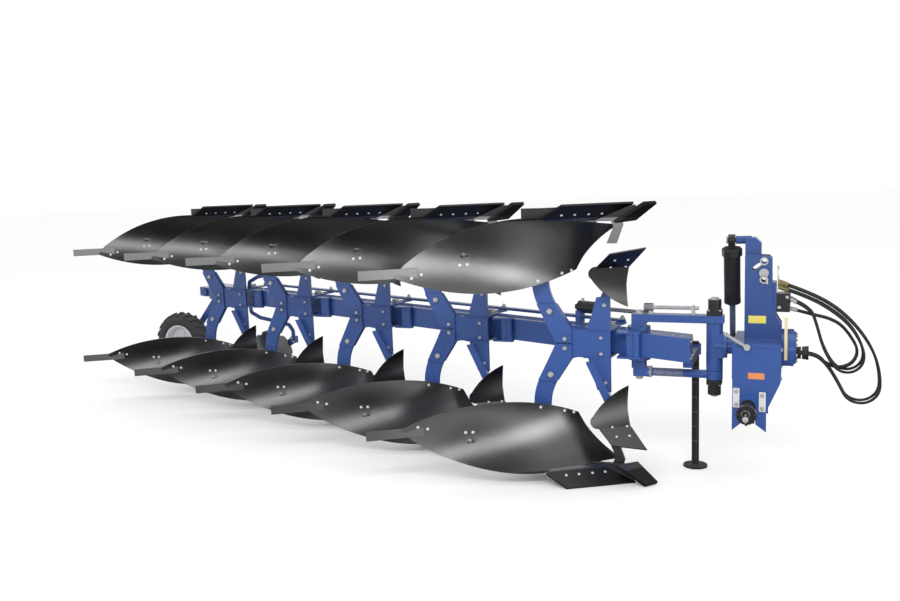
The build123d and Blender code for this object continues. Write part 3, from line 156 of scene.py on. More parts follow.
def noise_node(group: bpy.types.NodeTree, scale: object, detail: float) -> bpy.types.NodeSocket:
    """Adds a noise texture on object coordinates.

    Args:
        group: Tree to add to.
        scale: Scale as a number or a socket.
        detail: Octaves.

    Returns:
        The noise's value, 0 to 1.
    """
    place = group.nodes.new("ShaderNodeTexCoord")
    noise = group.nodes.new("ShaderNodeTexNoise")
    noise.inputs["Detail"].default_value = detail
    group.links.new(place.outputs["Object"], noise.inputs["Vector"])
    if isinstance(scale, bpy.types.NodeSocket):
        group.links.new(scale, noise.inputs["Scale"])
    else:
        noise.inputs["Scale"].default_value = scale
    return noise.outputs["Fac"]


class Effects:
    """Shader node groups that the finishes share."""

    def __init__(self) -> None:
        """Builds the groups."""
        self.mottle = self._mottle()
        self.edge = self._edge()
        self.dust = self._dust()
        self.zone = self._zone()

    def _mottle(self) -> bpy.types.NodeTree:
        """Makes a slow stain and a fine grain.

        Returns:
            The group.
        """
        group = new_group("mottle", (("Stain Scale", 3.0), ("Grain Scale", 220.0)), ("Stain", "Grain"))
        source, sink = group.nodes["Group Input"], group.nodes["Group Output"]
        group.links.new(noise_node(group, source.outputs["Stain Scale"], 4.0), sink.inputs["Stain"])
        group.links.new(noise_node(group, source.outputs["Grain Scale"], 2.0), sink.inputs["Grain"])
        return group

    def _edge(self) -> bpy.types.NodeTree:
        """Marks a band along sharp edges, broken up by noise.

        Returns:
            The group.
        """
        group = new_group("edge_wear", (("Width", 0.003), ("Breakup", 0.6)), ("Mask",))
        source, sink = group.nodes["Group Input"], group.nodes["Group Output"]
        bevel = group.nodes.new("ShaderNodeBevel")
        bevel.samples = 4
        group.links.new(source.outputs["Width"], bevel.inputs["Radius"])
        plain = group.nodes.new("ShaderNodeNewGeometry")
        dot = group.nodes.new("ShaderNodeVectorMath")
        dot.operation = "DOT_PRODUCT"
        group.links.new(bevel.outputs[0], dot.inputs[0])
        group.links.new(plain.outputs["True Normal"], dot.inputs[1])
        bent = math_node(group, "SUBTRACT", 1.0, dot.outputs["Value"])
        wide = math_node(group, "MULTIPLY", bent, 9.0)
        broken = math_node(group, "MULTIPLY", noise_node(group, 60.0, 5.0), source.outputs["Breakup"])
        mask = math_node(group, "SUBTRACT", wide, broken)
        mask.node.use_clamp = True
        group.links.new(mask, sink.inputs["Mask"])
        return group

    def _dust(self) -> bpy.types.NodeTree:
        """Marks faces that look up, where dust would lie.

        Returns:
            The group.
        """
        group = new_group("dust", (("Amount", 0.2),), ("Mask",))
        source, sink = group.nodes["Group Input"], group.nodes["Group Output"]
        plain = group.nodes.new("ShaderNodeNewGeometry")
        split = group.nodes.new("ShaderNodeSeparateXYZ")
        group.links.new(plain.outputs["Normal"], split.inputs[0])
        up = math_node(group, "MAXIMUM", split.outputs["Z"], 0.0)
        spread = math_node(group, "MULTIPLY", up, noise_node(group, 14.0, 6.0))
        group.links.new(math_node(group, "MULTIPLY", spread, source.outputs["Amount"]), sink.inputs["Mask"])
        return group

    def _zone(self) -> bpy.types.NodeTree:
        """Marks what lies further from the turnover axis than a depth.

        Returns:
            The group.
        """
        group = new_group("depth_zone", (("Axis Height", AXIS_HEIGHT), ("Depth", 9.0), ("Blend", 0.01)), ("Mask",))
        source, sink = group.nodes["Group Input"], group.nodes["Group Output"]
        place = group.nodes.new("ShaderNodeTexCoord")
        split = group.nodes.new("ShaderNodeSeparateXYZ")
        group.links.new(place.outputs["Object"], split.inputs[0])
        height = math_node(group, "SUBTRACT", split.outputs["Z"], source.outputs["Axis Height"])
        beyond = math_node(group, "SUBTRACT", math_node(group, "ABSOLUTE", height), source.outputs["Depth"])
        share = math_node(group, "DIVIDE", beyond, source.outputs["Blend"])
        share.node.use_clamp = True
        group.links.new(share, sink.inputs["Mask"])
        return group


@dataclass(frozen=True)
class Finish:
    """One surface finish.

    Attributes:
        name: Name of the material.
        slot: The record's material slot.
        color: Linear base color.
        worn: Color that stains and worn edges turn to.
        rough: Roughness.
        metal: Metallic share.
        coat: Clear coat weight.
        stain: How far the slow stain moves the color.
        wear: How far edges turn to the worn color.
        bump: Height of the grain, in metres.
        grain: Scale of the grain.
        round_edge: Radius that sharp edges are shaded with, in metres.
        dull_beyond: Depth from the turnover axis past which the steel is dark and dull, in metres.
    """

    name: str
    slot: str
    color: tuple[float, float, float]
    worn: tuple[float, float, float]
    rough: float
    metal: float = 0.0
    coat: float = 0.0
    stain: float = 0.15
    wear: float = 0.3
    bump: float = 0.0001
    grain: float = 220.0
    round_edge: float = 0.0025
    dull_beyond: float = 9.0

    def build(self, effects: Effects) -> bpy.types.Material:
        """Builds the material.

        Args:
            effects: The shared node groups.

        Returns:
            The material.
        """
        material = bpy.data.materials.new(self.name)
        material.use_nodes = True
        tree = material.node_tree
        shader = tree.nodes["Principled BSDF"]
        mottle = self._use(tree, effects.mottle, "Grain Scale", self.grain)
        stain = mottle.outputs["Stain"]
        edge = self._use(tree, effects.edge).outputs["Mask"]
        dust = self._use(tree, effects.dust).outputs["Mask"]
        zone = self._use(tree, effects.zone, "Depth", self.dull_beyond).outputs["Mask"]
        stained = self._mix(tree, math_node(tree, "MULTIPLY", stain, self.stain), self.color, self.worn)
        bare = self._mix(tree, math_node(tree, "MULTIPLY", edge, self.wear), stained, self.worn)
        dusty = self._mix(tree, math_node(tree, "MULTIPLY", dust, DUST_SHARE), bare, DUST_COLOR)
        dull = tuple(value * DULL_SHADE for value in self.color)
        tree.links.new(self._mix(tree, zone, dusty, dull), shader.inputs["Base Color"])
        rough = math_node(tree, "MULTIPLY_ADD", stain, STAIN_ROUGH, self.rough - STAIN_ROUGH / 2)
        tree.links.new(math_node(tree, "MULTIPLY_ADD", zone, DULL_ROUGH, rough), shader.inputs["Roughness"])
        shader.inputs["Metallic"].default_value = self.metal
        shader.inputs["Coat Weight"].default_value = self.coat
        shader.inputs["Coat Roughness"].default_value = COAT_ROUGH
        bevel = tree.nodes.new("ShaderNodeBevel")
        bevel.samples = 4
        bevel.inputs["Radius"].default_value = self.round_edge
        bump = tree.nodes.new("ShaderNodeBump")
        bump.inputs["Distance"].default_value = self.bump
        bump.inputs["Strength"].default_value = BUMP_STRENGTH
        tree.links.new(mottle.outputs["Grain"], bump.inputs["Height"])
        tree.links.new(bevel.outputs[0], bump.inputs["Normal"])
        tree.links.new(bump.outputs[0], shader.inputs["Normal"])
        return material

    @staticmethod
    def _use(tree: bpy.types.NodeTree, group: bpy.types.NodeTree, label: str = "", value: float = 0.0
             ) -> bpy.types.Node:
        """Adds a node that uses a group.

        Args:
            tree: Tree to add to.
            group: The group.
            label: Input to set, if any.
            value: What it is set to.

        Returns:
            The node.
        """
        node = tree.nodes.new("ShaderNodeGroup")
        node.node_tree = group
        if label:
            node.inputs[label].default_value = value
        return node

    @staticmethod
    def _mix(tree: bpy.types.NodeTree, share: bpy.types.NodeSocket, first: object, second: object
             ) -> bpy.types.NodeSocket:
        """Adds a color mix.

        Args:
            tree: Tree to add to.
            share: Share of the second color.
            first: Color or socket.
            second: Color or socket.

        Returns:
            The mixed color's socket.
        """
        node = tree.nodes.new("ShaderNodeMix")
        node.data_type = "RGBA"
        tree.links.new(share, node.inputs["Factor"])
        for label, value in (("A", first), ("B", second)):
            socket = next(s for s in node.inputs if s.name == label and s.type == "RGBA")
            if isinstance(value, bpy.types.NodeSocket):
                tree.links.new(value, socket)
            else:
                socket.default_value = (*value, 1.0)
        return next(s for s in node.outputs if s.type == "RGBA")


class Look(Enum):
    """The finishes of the plough."""

    BLUE = Finish("blue_paint", "blue_paint", (0.026, 0.072, 0.26), (0.07, 0.14, 0.36), 0.28, coat=0.8)
    # The same blue paint as BLUE, made darker: painted shade over the whole headstock mast and its top spacer.
    SHADED_BLUE = Finish("shaded_blue_paint", "blue_paint", (0.018, 0.054, 0.20), (0.05, 0.11, 0.30), 0.32, coat=0.6)
    BLACK = Finish("black_paint", "black_paint", (0.012, 0.012, 0.014), (0.10, 0.10, 0.10), 0.34, coat=0.3)
    BODY = Finish("body_steel", "body_steel", (0.40, 0.40, 0.405), (0.34, 0.34, 0.34), 0.23, metal=1.0, stain=0.25,
                  wear=0.3, grain=90.0, dull_beyond=0.80)
    SKIMMER = Finish("skimmer_paint", "black_paint", (0.13, 0.13, 0.135), (0.10, 0.10, 0.10), 0.22, metal=1.0)
    EDGE = Finish("share_steel", "body_steel", (0.45, 0.45, 0.45), (0.55, 0.55, 0.55), 0.34, metal=1.0, wear=0.5)
    STEEL = Finish("bright_steel", "bright_steel", (0.66, 0.66, 0.67), (0.50, 0.49, 0.48), 0.32, metal=0.6)
    ZINC = Finish("zinc_plate", "zinc_plate", (0.74, 0.75, 0.77), (0.58, 0.59, 0.61), 0.42, metal=0.3)
    CHROME = Finish("chromed_rod", "chromed_rod", (0.60, 0.60, 0.62), (0.5, 0.5, 0.5), 0.20, metal=0.9, stain=0.05)
    BRASS = Finish("brass", "brass", (0.72, 0.62, 0.28), (0.50, 0.42, 0.20), 0.32, metal=0.9)
    RUBBER = Finish("tyre_rubber", "tyre", (0.030, 0.031, 0.034), (0.10, 0.10, 0.11), 0.75, stain=0.4, grain=400.0,
                    bump=0.0003)
    HOSE = Finish("hose_rubber", "hose_rubber", (0.012, 0.012, 0.013), (0.06, 0.06, 0.06), 0.42, grain=600.0)
    RIM = Finish("grey_rim", "grey_rim", (0.62, 0.63, 0.65), (0.50, 0.50, 0.52), 0.40, coat=0.2)
    BEIGE = Finish("beige_paint", "brass", (0.62, 0.55, 0.33), (0.5, 0.45, 0.3), 0.40, coat=0.2)
    AMBER = Finish("amber_plate", "brass", (0.62, 0.22, 0.07), (0.55, 0.22, 0.1), 0.30, coat=0.6)
    YELLOW = Finish("yellow_plate", "brass", (0.62, 0.54, 0.10), (0.5, 0.42, 0.15), 0.35, coat=0.4)


class Paints:
    """Builds each finish once and hands it out."""

    def __init__(self) -> None:
        """Starts with no material built."""
        self._effects = Effects()
        self._made: dict[Look, bpy.types.Material] = {}

    def get(self, look: Look) -> bpy.types.Material:
        """Finds the material of a finish, and builds it on first use.

        Args:
            look: The finish.

        Returns:
            The material.
        """
        if look not in self._made:
            self._made[look] = look.value.build(self._effects)
        return self._made[look]

    def dress_node(self, node: str, look: Look) -> None:
        """Gives a CAD node its material.

        Args:
            node: Name of the node.
            look: Its finish.
        """
        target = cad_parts[node]
        target.data.materials.clear()
        target.data.materials.append(self.get(look))


class Batch:
    """One piece of the scene: small parts of one finish on one body, joined in one mesh."""

    def __init__(self, name: str, body: str, look: Look, paints: Paints) -> None:
        """Starts an empty mesh.

        Args:
            name: Name of the piece.
            body: CAD body that it rides on.
            look: Its finish.
            paints: The materials.
        """
        self.name, self.body, self.look, self.paints = name, body, look, paints
        self.mesh = bmesh.new()

    @staticmethod
    def _turn(axis: Vector, hint: Vector | None = None) -> Matrix:
        """Finds a rotation.

        Args:
            axis: Direction of its third axis.
            hint: Direction near its first axis; ahead or to the left if none is given.

        Returns:
            The rotation.
        """
        third = axis.normalized()
        guide = hint if hint is not None else (FORWARD if abs(third.x) < 0.9 else LEFT)
        second = third.cross(guide).normalized()
        first = second.cross(third)
        return Matrix((first, second, third)).transposed()

    @classmethod
    def _lay(cls, way: Vector) -> Matrix:
        """Returns the rotation whose third axis is way and whose first lies near upright, if it can."""
        return cls._turn(way, UP if abs(way.normalized().z) < 0.9 else FORWARD)

    def _circle(self, centre: Vector, turn: Matrix, radius: float, segments: int, along: float = 0.0
                ) -> list[bmesh.types.BMVert]:
        """Adds a circle of corners.

        Args:
            centre: Point on the circle's axis.
            turn: Rotation whose third axis is that axis.
            radius: Its radius in mm.
            segments: Number of corners.
            along: Distance of the circle along the axis, in mm.

        Returns:
            The corners in order.
        """
        turns = (2 * math.pi * step / segments for step in range(segments))
        return [
            self.mesh.verts.new(centre + turn @ mm(math.cos(angle) * radius, math.sin(angle) * radius, along))
            for angle in turns
        ]

    def _skin(self, rings: Sequence[list[bmesh.types.BMVert]], closed: bool = False) -> None:
        """Joins circles of corners by faces.

        Args:
            rings: The circles, each with as many corners.
            closed: Whether the last circle joins the first; otherwise both ends get a face.
        """
        for low, high in zip(rings, [*rings[1:], rings[0]] if closed else rings[1:]):
            for step in range(len(low)):
                after = (step + 1) % len(low)
                self.mesh.faces.new((low[step], low[after], high[after], high[step]))
        if not closed:
            self.mesh.faces.new(list(reversed(rings[0])))
            self.mesh.faces.new(rings[-1])

    def lathe(self, start: Vector, axis: Vector, profile: Sequence[tuple[float, float]], segments: int = 24) -> None:
        """Adds a turned form.

        Args:
            start: Point on the axis.
            axis: Direction of the axis.
            profile: Distance along the axis and radius, in mm.
            segments: Steps round.
        """
        turn = self._turn(axis)
        self._skin([self._circle(start, turn, radius, segments, along) for along, radius in profile])

    def block(self, centre: Vector, size: Sequence[float], axis: Vector = UP, hint: Vector | None = None,
              chamfer: float = 0.0) -> None:
        """Adds a block with cut edges.

        Args:
            centre: Its centre.
            size: Sizes along hint, across it and along axis, in mm.
            axis: Direction of its third side.
            hint: Direction near its first side.
            chamfer: Cut of its edges, in mm.
        """
        turn = self._turn(axis, hint).to_4x4()
        turn.translation = centre
        made = bmesh.ops.create_cube(self.mesh, size=1.0)
        scale = Matrix.Diagonal((*[value * MM for value in size], 1.0))
        bmesh.ops.transform(self.mesh, matrix=turn @ scale, verts=made["verts"])
        if chamfer > 0:
            edges = {edge for vert in made["verts"] for edge in vert.link_edges}
            bmesh.ops.bevel(self.mesh, geom=list(edges), offset=chamfer * MM, segments=1, affect="EDGES")

    def bolt(self, place: Vector, axis: Vector, size: float, stub: bool = False) -> None:
        """Adds a washer with a hex head or a nut on its stud.

        Args:
            place: Point on the surface under the washer.
            axis: Direction out of the surface.
            size: Thread diameter in mm.
            stub: Whether a stud shows through, as on a nut.
        """
        self.lathe(place, axis, ((-0.5, size), (0.12 * size, size), (0.16 * size, 0.92 * size)), 20)
        self.lathe(place, axis, (
            (0.1 * size, 0.86 * size), (0.66 * size, 0.86 * size), (0.8 * size, 0.70 * size),
        ), 6)
        if stub:
            self.lathe(place, axis, (
                (0.7 * size, 0.5 * size), (1.15 * size, 0.5 * size), (1.25 * size, 0.4 * size),
            ), 12)

    def tube(self, points: Sequence[Vector], radius: float, segments: int = 10) -> None:
        """Adds a round bar along points.

        Args:
            points: Its centreline.
            radius: Its radius in mm.
            segments: Steps round.
        """
        ways = [after - before for before, after in zip([points[0], *points[:-1]], [*points[1:], points[-1]])]
        self._skin([self._circle(point, self._lay(way), radius, segments) for point, way in zip(points, ways)])

    def ring(self, start: Vector, axis: Vector, profile: Sequence[tuple[float, float]], segments: int = 32) -> None:
        """Adds a turned ring with an open bore.

        Args:
            start: Point on the axis.
            axis: Direction of the axis.
            profile: Closed outline as distance along the axis and radius, in mm.
            segments: Steps round.
        """
        turn = self._turn(axis)
        self._skin([self._circle(start, turn, radius, segments, along) for along, radius in profile], closed=True)

    def bush(self, start: Vector, axis: Vector, bore: float, radius: float, height: float, segments: int = 32
             ) -> None:
        """Adds a square-edged ring; bore, radius and height are in mm, and six segments make a bored hexagon."""
        self.ring(start, axis, ((0.0, bore), (0.0, radius), (height, radius), (height, bore)), segments)

    def ridge(self, centre: Vector, axis: Vector, root: float, crest: float, half: float, segments: int = 32
              ) -> None:
        """Adds one thread or grip ridge, from its root to its crest radius and half as wide each way, in mm."""
        self.ring(centre, axis, ((-half, root), (0.0, crest), (half, root)), segments)

    def bolt_circle(self, centre: Vector, axis: Vector, radius: float, count: int, size: float) -> None:
        """Adds bolts evenly round a centre.

        Args:
            centre: Centre of the circle, on the surface.
            axis: Direction out of the surface.
            radius: Radius of the circle in mm.
            count: Number of bolts.
            size: Thread diameter in mm.
        """
        turn = self._turn(axis)
        for step in range(count):
            angle = 2 * math.pi * (step + 0.5) / count
            self.bolt(centre + turn @ Vector((math.cos(angle), math.sin(angle), 0.0)) * radius * MM, axis, size)

    def weld(self, points: Sequence[Vector], radius: float = 4.0) -> None:
        """Adds a rippled weld bead along a line.

        Args:
            points: Corners of the line.
            radius: Mean radius of the bead in mm.
        """
        for start, end in zip(points, points[1:]):
            count = max(int((end - start).length / (WELD_RIPPLE * MM)), 3)
            turn = self._lay(end - start)
            rings = []
            for step in range(count + 1):
                width = radius * (0.84 + 0.22 * (step % 2)) * (0.35 if step in (0, count) else 1.0)
                rings.append(self._circle(start.lerp(end, step / count), turn, width, 8))
            self._skin(rings)

    def finish(self) -> None:
        """Turns the mesh into an object that rides on its body."""
        bmesh.ops.recalc_face_normals(self.mesh, faces=self.mesh.faces)
        data = bpy.data.meshes.new(self.name)
        self.mesh.to_mesh(data)
        self.mesh.free()
        data.shade_smooth()
        data.set_sharp_from_angle(angle=SHARP_ANGLE)
        data.materials.append(self.paints.get(self.look))
        piece = bpy.data.objects.new(self.name, data)
        bpy.context.scene.collection.objects.link(piece)
        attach(piece, self.body)
        LOG.info("%s: %d faces on %s", self.name, len(data.polygons), self.body)


class Surface:
    """Finds points on the face of CAD nodes."""

    def __init__(self, *nodes: str) -> None:
        """Reads the nodes' meshes.

        Args:
            nodes: Names of the CAD nodes.
        """
        self._trees = []
        for node in nodes:
            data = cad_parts[node].data
            corners = [vert.co.copy() for vert in data.vertices]
            self._trees.append(BVHTree.FromPolygons(corners, [tuple(face.vertices) for face in data.polygons]))

    def hit(self, start: Vector, direction: Vector) -> tuple[Vector, Vector] | None:
        """Casts a ray.

        Args:
            start: Where the ray starts.
            direction: Where it goes.

        Returns:
            The nearest point and its normal, turned towards the start, or None.
        """
        found = []
        for tree in self._trees:
            place, normal, _, distance = tree.ray_cast(start, direction.normalized())
            if place is not None:
                facing = normal if normal.dot(direction) < 0 else -normal
                found.append((distance, place, facing))
        if not found:
            return None
        _, place, facing = min(found, key=lambda row: row[0])
        return place, facing


@dataclass
class Assembly:
    """A sub-assembly of the plough.

    Attributes:
        paints: The materials that it is dressed with.
    """

    paints: Paints

    def piece(self, name: str, body: str, look: Look) -> Batch:
        """Starts one piece that rides on a body."""
        return Batch(name, body, look, self.paints)


@dataclass
class Furrow(Assembly):
    """One furrow's carrier, legs, skimmers and pair of bodies.

    Attributes:
        index: Number of the furrow, from 0 at the front.
        board_bolts: Place of each bolt seen on a board, as x, y and depth in mm.
        share_bolts: Distance of each share bolt along the cutting edge, in mm.
        share_line: Start and direction of the line of the share bolts, as x and y in mm.
        share_depth: Depth of the share bolts in mm.
        skimmer_bolts: Place of each skimmer bolt, as distance along its board and depth in mm.
        skimmer_line: Start and direction of a skimmer's board, as x and y in mm.
        brace: Place where the brace meets the board, as x, y and depth in mm.
        radii: Radius of the heads on the board, the share, the skimmer and the brace, in mm.
        plate_bolts: Place of each bolt through the legs' and stalk plates, as x, half its length, depth and thread
            size in mm.
        stem_bolts: Place of each bolt on the skimmer stems, as x and depth in mm.
        carrier_bolts: Place of each bolt on the carrier plate, as x and height in mm.
        pivot: Place of the carrier's pivot pin, as x and y in mm.
        lever: Place of the tie rod's pin, as x and y in mm.
        stem_shift: Distance of each skimmer stem from the middle of the furrow, in mm.
    """

    index: int
    board_bolts: tuple[tuple[float, float, float], ...] = (
        (-193.0, -107.0, 413.0), (-60.0, -9.0, 453.0), (-12.0, 35.0, 468.0), (-630.0, -353.0, 541.0),
        (-587.0, -332.0, 543.0), (-882.0, -533.0, 476.0), (-831.0, -495.0, 495.0),
    )
    share_bolts: tuple[float, ...] = (170.0, 255.0, 345.0, 430.0)
    share_line: tuple[float, ...] = (339.0, 64.0, -0.860, -0.510)
    share_depth: float = 830.0
    skimmer_bolts: tuple[tuple[float, float], ...] = ((24.0, 505.0), (118.0, 505.0), (30.0, 552.0), (112.0, 552.0))
    skimmer_line: tuple[float, ...] = (365.0, -52.0, -0.839, -0.545)
    brace: tuple[float, float, float] = (-612.0, -342.0, 600.0)
    radii: tuple[float, ...] = (10.0, 9.0, 8.0, 17.0)
    plate_bolts: tuple[tuple[float, float, float, float], ...] = (
        (-144.0, 36.0, 208.0, 20.0), (-48.0, 36.0, 31.0, 14.0), (206.0, 12.0, 252.0, 14.0),
    )
    stem_bolts: tuple[tuple[float, float], ...] = ((243.0, 404.0), (259.0, 441.0))
    carrier_bolts: tuple[tuple[float, float], ...] = ((184.0, 42.0), (184.0, -62.0))
    pivot: tuple[float, float] = (200.0, 186.0)
    lever: tuple[float, float] = (258.0, 324.4)
    stem_shift: float = 32.0

    @property
    def body(self) -> str:
        """CAD body of this furrow."""
        return f"furrow_{self.index + 1}"

    def at(self, side: Side, x: float, y: float, depth: float) -> Vector:
        """Returns the point at x ahead, y to the left and depth away from this furrow's axis, all in mm."""
        return furrow_point(self.index, side, x, y, depth)

    def dress(self) -> None:
        """Gives the CAD nodes their finishes."""
        number = self.index + 1
        self.paints.dress_node(f"carrier_{number}", Look.BLUE)
        self.paints.dress_node(f"legs_{number}", Look.BLUE)
        self.paints.dress_node(f"skimmers_{number}", Look.SKIMMER)
        for side in Side:
            self.paints.dress_node(f"{side.name.lower()}_bottom_{number}", Look.BODY)

    def board_heads(self) -> None:
        """Adds the flush heads on the boards, shares and skimmers."""
        number = self.index + 1
        bolts = self.piece(f"board_bolts_{number}", self.body, Look.ZINC)
        braces = self.piece(f"brace_heads_{number}", self.body, Look.BODY)
        skimmer = Surface(f"skimmers_{number}")
        on_board, on_share, on_skimmer, on_brace = self.radii
        for side in Side:
            board = Surface(f"{side.name.lower()}_bottom_{number}")
            for place in self.board_bolts:
                self._head(bolts, board, self.at(side, *place), on_board)
            for along in self.share_bolts:
                self._head(bolts, board, self.at(side, *self._on(self.share_line, along), self.share_depth), on_share)
            for along, depth in self.skimmer_bolts:
                self._head(bolts, skimmer, self.at(side, *self._on(self.skimmer_line, along), depth), on_skimmer)
            self._head(braces, board, self.at(side, *self.brace), on_brace)
        bolts.finish()
        braces.finish()

    @staticmethod
    def _on(line: Sequence[float], along: float) -> tuple[float, float]:
        """Returns the x and y at a distance along a line."""
        x, y, way_x, way_y = line
        return x + way_x * along, y + way_y * along

    @staticmethod
    def _head(batch: Batch, surface: Surface, near: Vector, radius: float) -> None:
        """Adds one flush head where a ray meets the surface.

        Args:
            batch: Piece to add to.
            surface: Surface that the head sits in.
            near: Point close to the surface.
            radius: Radius of the head in mm.
        """
        found = surface.hit(near + BOARD_FACE * RAY_START, -BOARD_FACE)
        if found:
            place, normal = found
            batch.lathe(place, normal, ((-0.5, radius), (0.8, radius * 0.96), (1.3, radius * 0.78)), 20)

    def frame_bolts(self) -> None:
        """Adds the bolts of the legs, carrier, skimmer stems and pins."""
        bolts = self.piece(f"frame_bolts_{self.index + 1}", self.body, Look.STEEL)
        for side in Side:
            for x, half, depth, size in self.plate_bolts:
                for way in BOTH:
                    bolts.bolt(self.at(side, x, way * half, depth), LEFT * way, size, stub=way > 0)
            for x, depth in self.stem_bolts:
                bolts.bolt(self.at(side, x, side.value * self.stem_shift - 24.0, depth), -LEFT, 11.0)
        for x, height in self.carrier_bolts:
            bolts.bolt(self.at(Side.UPPER, x, -21.0, height), -LEFT, 12.0)
        for side in Side:
            out = UP * side.value
            top = self.at(side, *self.pivot, 91.0)
            bolts.bush(top, out, 23.0, 38.0, 4.0)
            bolts.lathe(top, out, ((4.0, 33.0), (20.0, 33.0), (24.0, 29.0)), 6)
        bolts.bolt(self.at(Side.UPPER, *self.lever, 109.0), UP, 20.0, stub=True)
        bolts.finish()

    def stem_clamps(self) -> None:
        """Adds the clamp plates that hold the skimmers on their stems."""
        clamps = self.piece(f"stem_clamps_{self.index + 1}", self.body, Look.BLUE)
        for side in Side:
            along = Vector((13.0, 0.0, side.value * 30.0)).normalized()
            centre = self.at(side, 251.0, side.value * self.stem_shift - 18.0, 423.0)
            clamps.block(centre, (60.0, 12.0, 78.0), along, FORWARD, 3.0)
        clamps.finish()

    def welds(self) -> None:
        """Adds the weld beads of the carrier."""
        beads = self.piece(f"carrier_welds_{self.index + 1}", self.body, Look.BLUE)
        for side in Side:
            for way in BOTH:
                for depth, radius in ((91.5, 3.6), (78.0, 3.2)):
                    beads.weld([self.at(side, x, way * 12.0, depth) for x in (66.0, 240.0)], radius)
            shift = side.value * 12.0
            beads.weld([self.at(side, 142.0, shift, 112.0), self.at(side, 238.0, shift, 304.0)])
            beads.weld([self.at(side, x, -12.0, 520.0) for x in (-170.0, -236.0)])
        beads.finish()

    def build(self) -> None:
        """Dresses the CAD nodes and adds the fasteners and welds."""
        self.dress()
        self.board_heads()
        self.frame_bolts()
        self.stem_clamps()
        self.welds()


@dataclass
class Coulters(Assembly):
    """Pair of notched discs ahead of the last furrow.

    Attributes:
        index: Number of the furrow that carries them.
        hub: Distance ahead and depth of the hub in mm.
        shift: Distance of the disc to the left of the furrow in mm.
        swivel: Distance ahead and depth of each bolt of the swivel in mm.
    """

    index: int = FURROWS - 1
    hub: tuple[float, float] = (434.0, 561.0)
    shift: float = 80.0
    swivel: tuple[tuple[float, float], ...] = ((682.0, 392.0), (700.0, 418.0))

    def build(self) -> None:
        """Dresses the discs and adds hub screws, a cap and the swivel bolts."""
        arms = self.piece("coulter_arm_bolts", f"furrow_{self.index + 1}", Look.STEEL)
        ahead, depth = self.hub
        for side in Side:
            name = side.name.lower()
            self.paints.dress_node(f"coulter_disc_{name}", Look.EDGE)
            hub = self.piece(f"coulter_hub_{name}", f"coulter_{name}", Look.STEEL)
            near = furrow_point(self.index, side, ahead, self.shift - 22.0, depth)
            hub.bolt_circle(near, -LEFT, 31.0, 5, 7.0)
            hub.ring(near, -LEFT, ((0.0, 15.4), (0.0, 24.0), (4.0, 21.0), (4.0, 15.4)))
            hub.finish()
            arms.bolt(furrow_point(self.index, side, ahead, self.shift + 40.0, depth), LEFT, 18.0)
            for bolt_x, bolt_depth in self.swivel:
                for shift, way in ((40.0, 1), (-20.0, -1)):
                    place = furrow_point(self.index, side, bolt_x, self.shift + shift, bolt_depth)
                    arms.bolt(place, LEFT * way, 12.0)
        arms.finish()


@dataclass
class Hoses(Assembly):
    """Six hydraulic hoses that hang in loops ahead of the mast.

    Attributes:
        diameter: Outer diameter in mm.
        routes: For each kind, its points as distance ahead of the first body, height over the axis and spread,
            and the length of its line in metres.
    """

    diameter: float = 16.0
    routes: dict[str, tuple[float, tuple[tuple[float, float, float], ...]]] = field(default_factory=lambda: {
        "outer": (1.4605, (
            (1285.0, 379.0, 28.0), (1416.6, 331.1, 28.0), (1562.0, 246.0, 33.0), (1680.0, 125.0, 36.0),
            (1762.0, -10.0, 38.0), (1795.0, -140.0, 40.0), (1795.1, -254.7, 40.0), (1718.1, -317.7, 38.0),
            (1620.6, -298.2, 36.0), (1577.0, -208.0, 33.0), (1518.0, -104.0, 30.0), (1446.0, -30.0, 29.0),
            (1366.0, -30.0, 29.0),
        )),
        "middle": (1.2714, (
            (1290.0, 349.0, 28.0), (1398.1, 309.7, 28.0), (1520.0, 243.0, 40.0), (1635.0, 145.0, 46.0),
            (1706.0, 12.0, 48.0), (1705.0, -80.0, 48.0), (1640.7, -133.9, 48.0), (1558.0, -119.3, 47.0),
            (1487.0, 4.0, 44.0), (1448.0, 150.0, 40.0), (1415.8, 238.9, 36.0), (1335.6, 279.8, 36.0),
        )),
        "inner": (0.8215, (
            (1338.6, 227.6, 13.0), (1435.2, 201.8, 13.0), (1510.0, 186.0, 14.0), (1580.0, 150.0, 15.0),
            (1634.1, 81.6, 16.0), (1678.7, -2.3, 16.0), (1649.9, -83.0, 15.0), (1570.8, -116.0, 13.0),
            (1489.2, -78.0, 11.0), (1432.0, -30.0, 10.0), (1366.0, -30.0, 10.0),
        )),
    })

    def build(self) -> None:
        """Adds each hose as one smooth curve over its CAD solid."""
        for kind, (length, route) in self.routes.items():
            for way, side in ((-1, "right"), (1, "left")):
                self._hose(f"{kind}_{side}", [head_point(x, way * y, z) for x, z, y in route], length)

    def _hose(self, name: str, points: Sequence[Vector], length: float) -> None:
        """Adds one hose.

        Args:
            name: Its kind and side.
            points: Control points of its line.
            length: Its length in metres.
        """
        curve = bpy.data.curves.new(f"hydraulic_hose_{name}", "CURVE")
        curve.dimensions = "3D"
        curve.resolution_u = 16
        curve.bevel_depth = self.diameter / 2 * MM
        curve.bevel_resolution = 5
        curve.use_fill_caps = True
        spline = curve.splines.new("NURBS")
        spline.points.add(len(points) - 1)
        for target, point in zip(spline.points, points):
            target.co = (*point, 1.0)
        spline.order_u = 3
        spline.use_endpoint_u = True
        curve.materials.append(self.paints.get(Look.HOSE))
        piece = bpy.data.objects.new(curve.name, curve)
        bpy.context.scene.collection.objects.link(piece)
        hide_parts(f"hose_{name}")
        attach(piece, "headstock")
        LOG.info("%s: %.2f m", piece.name, length)


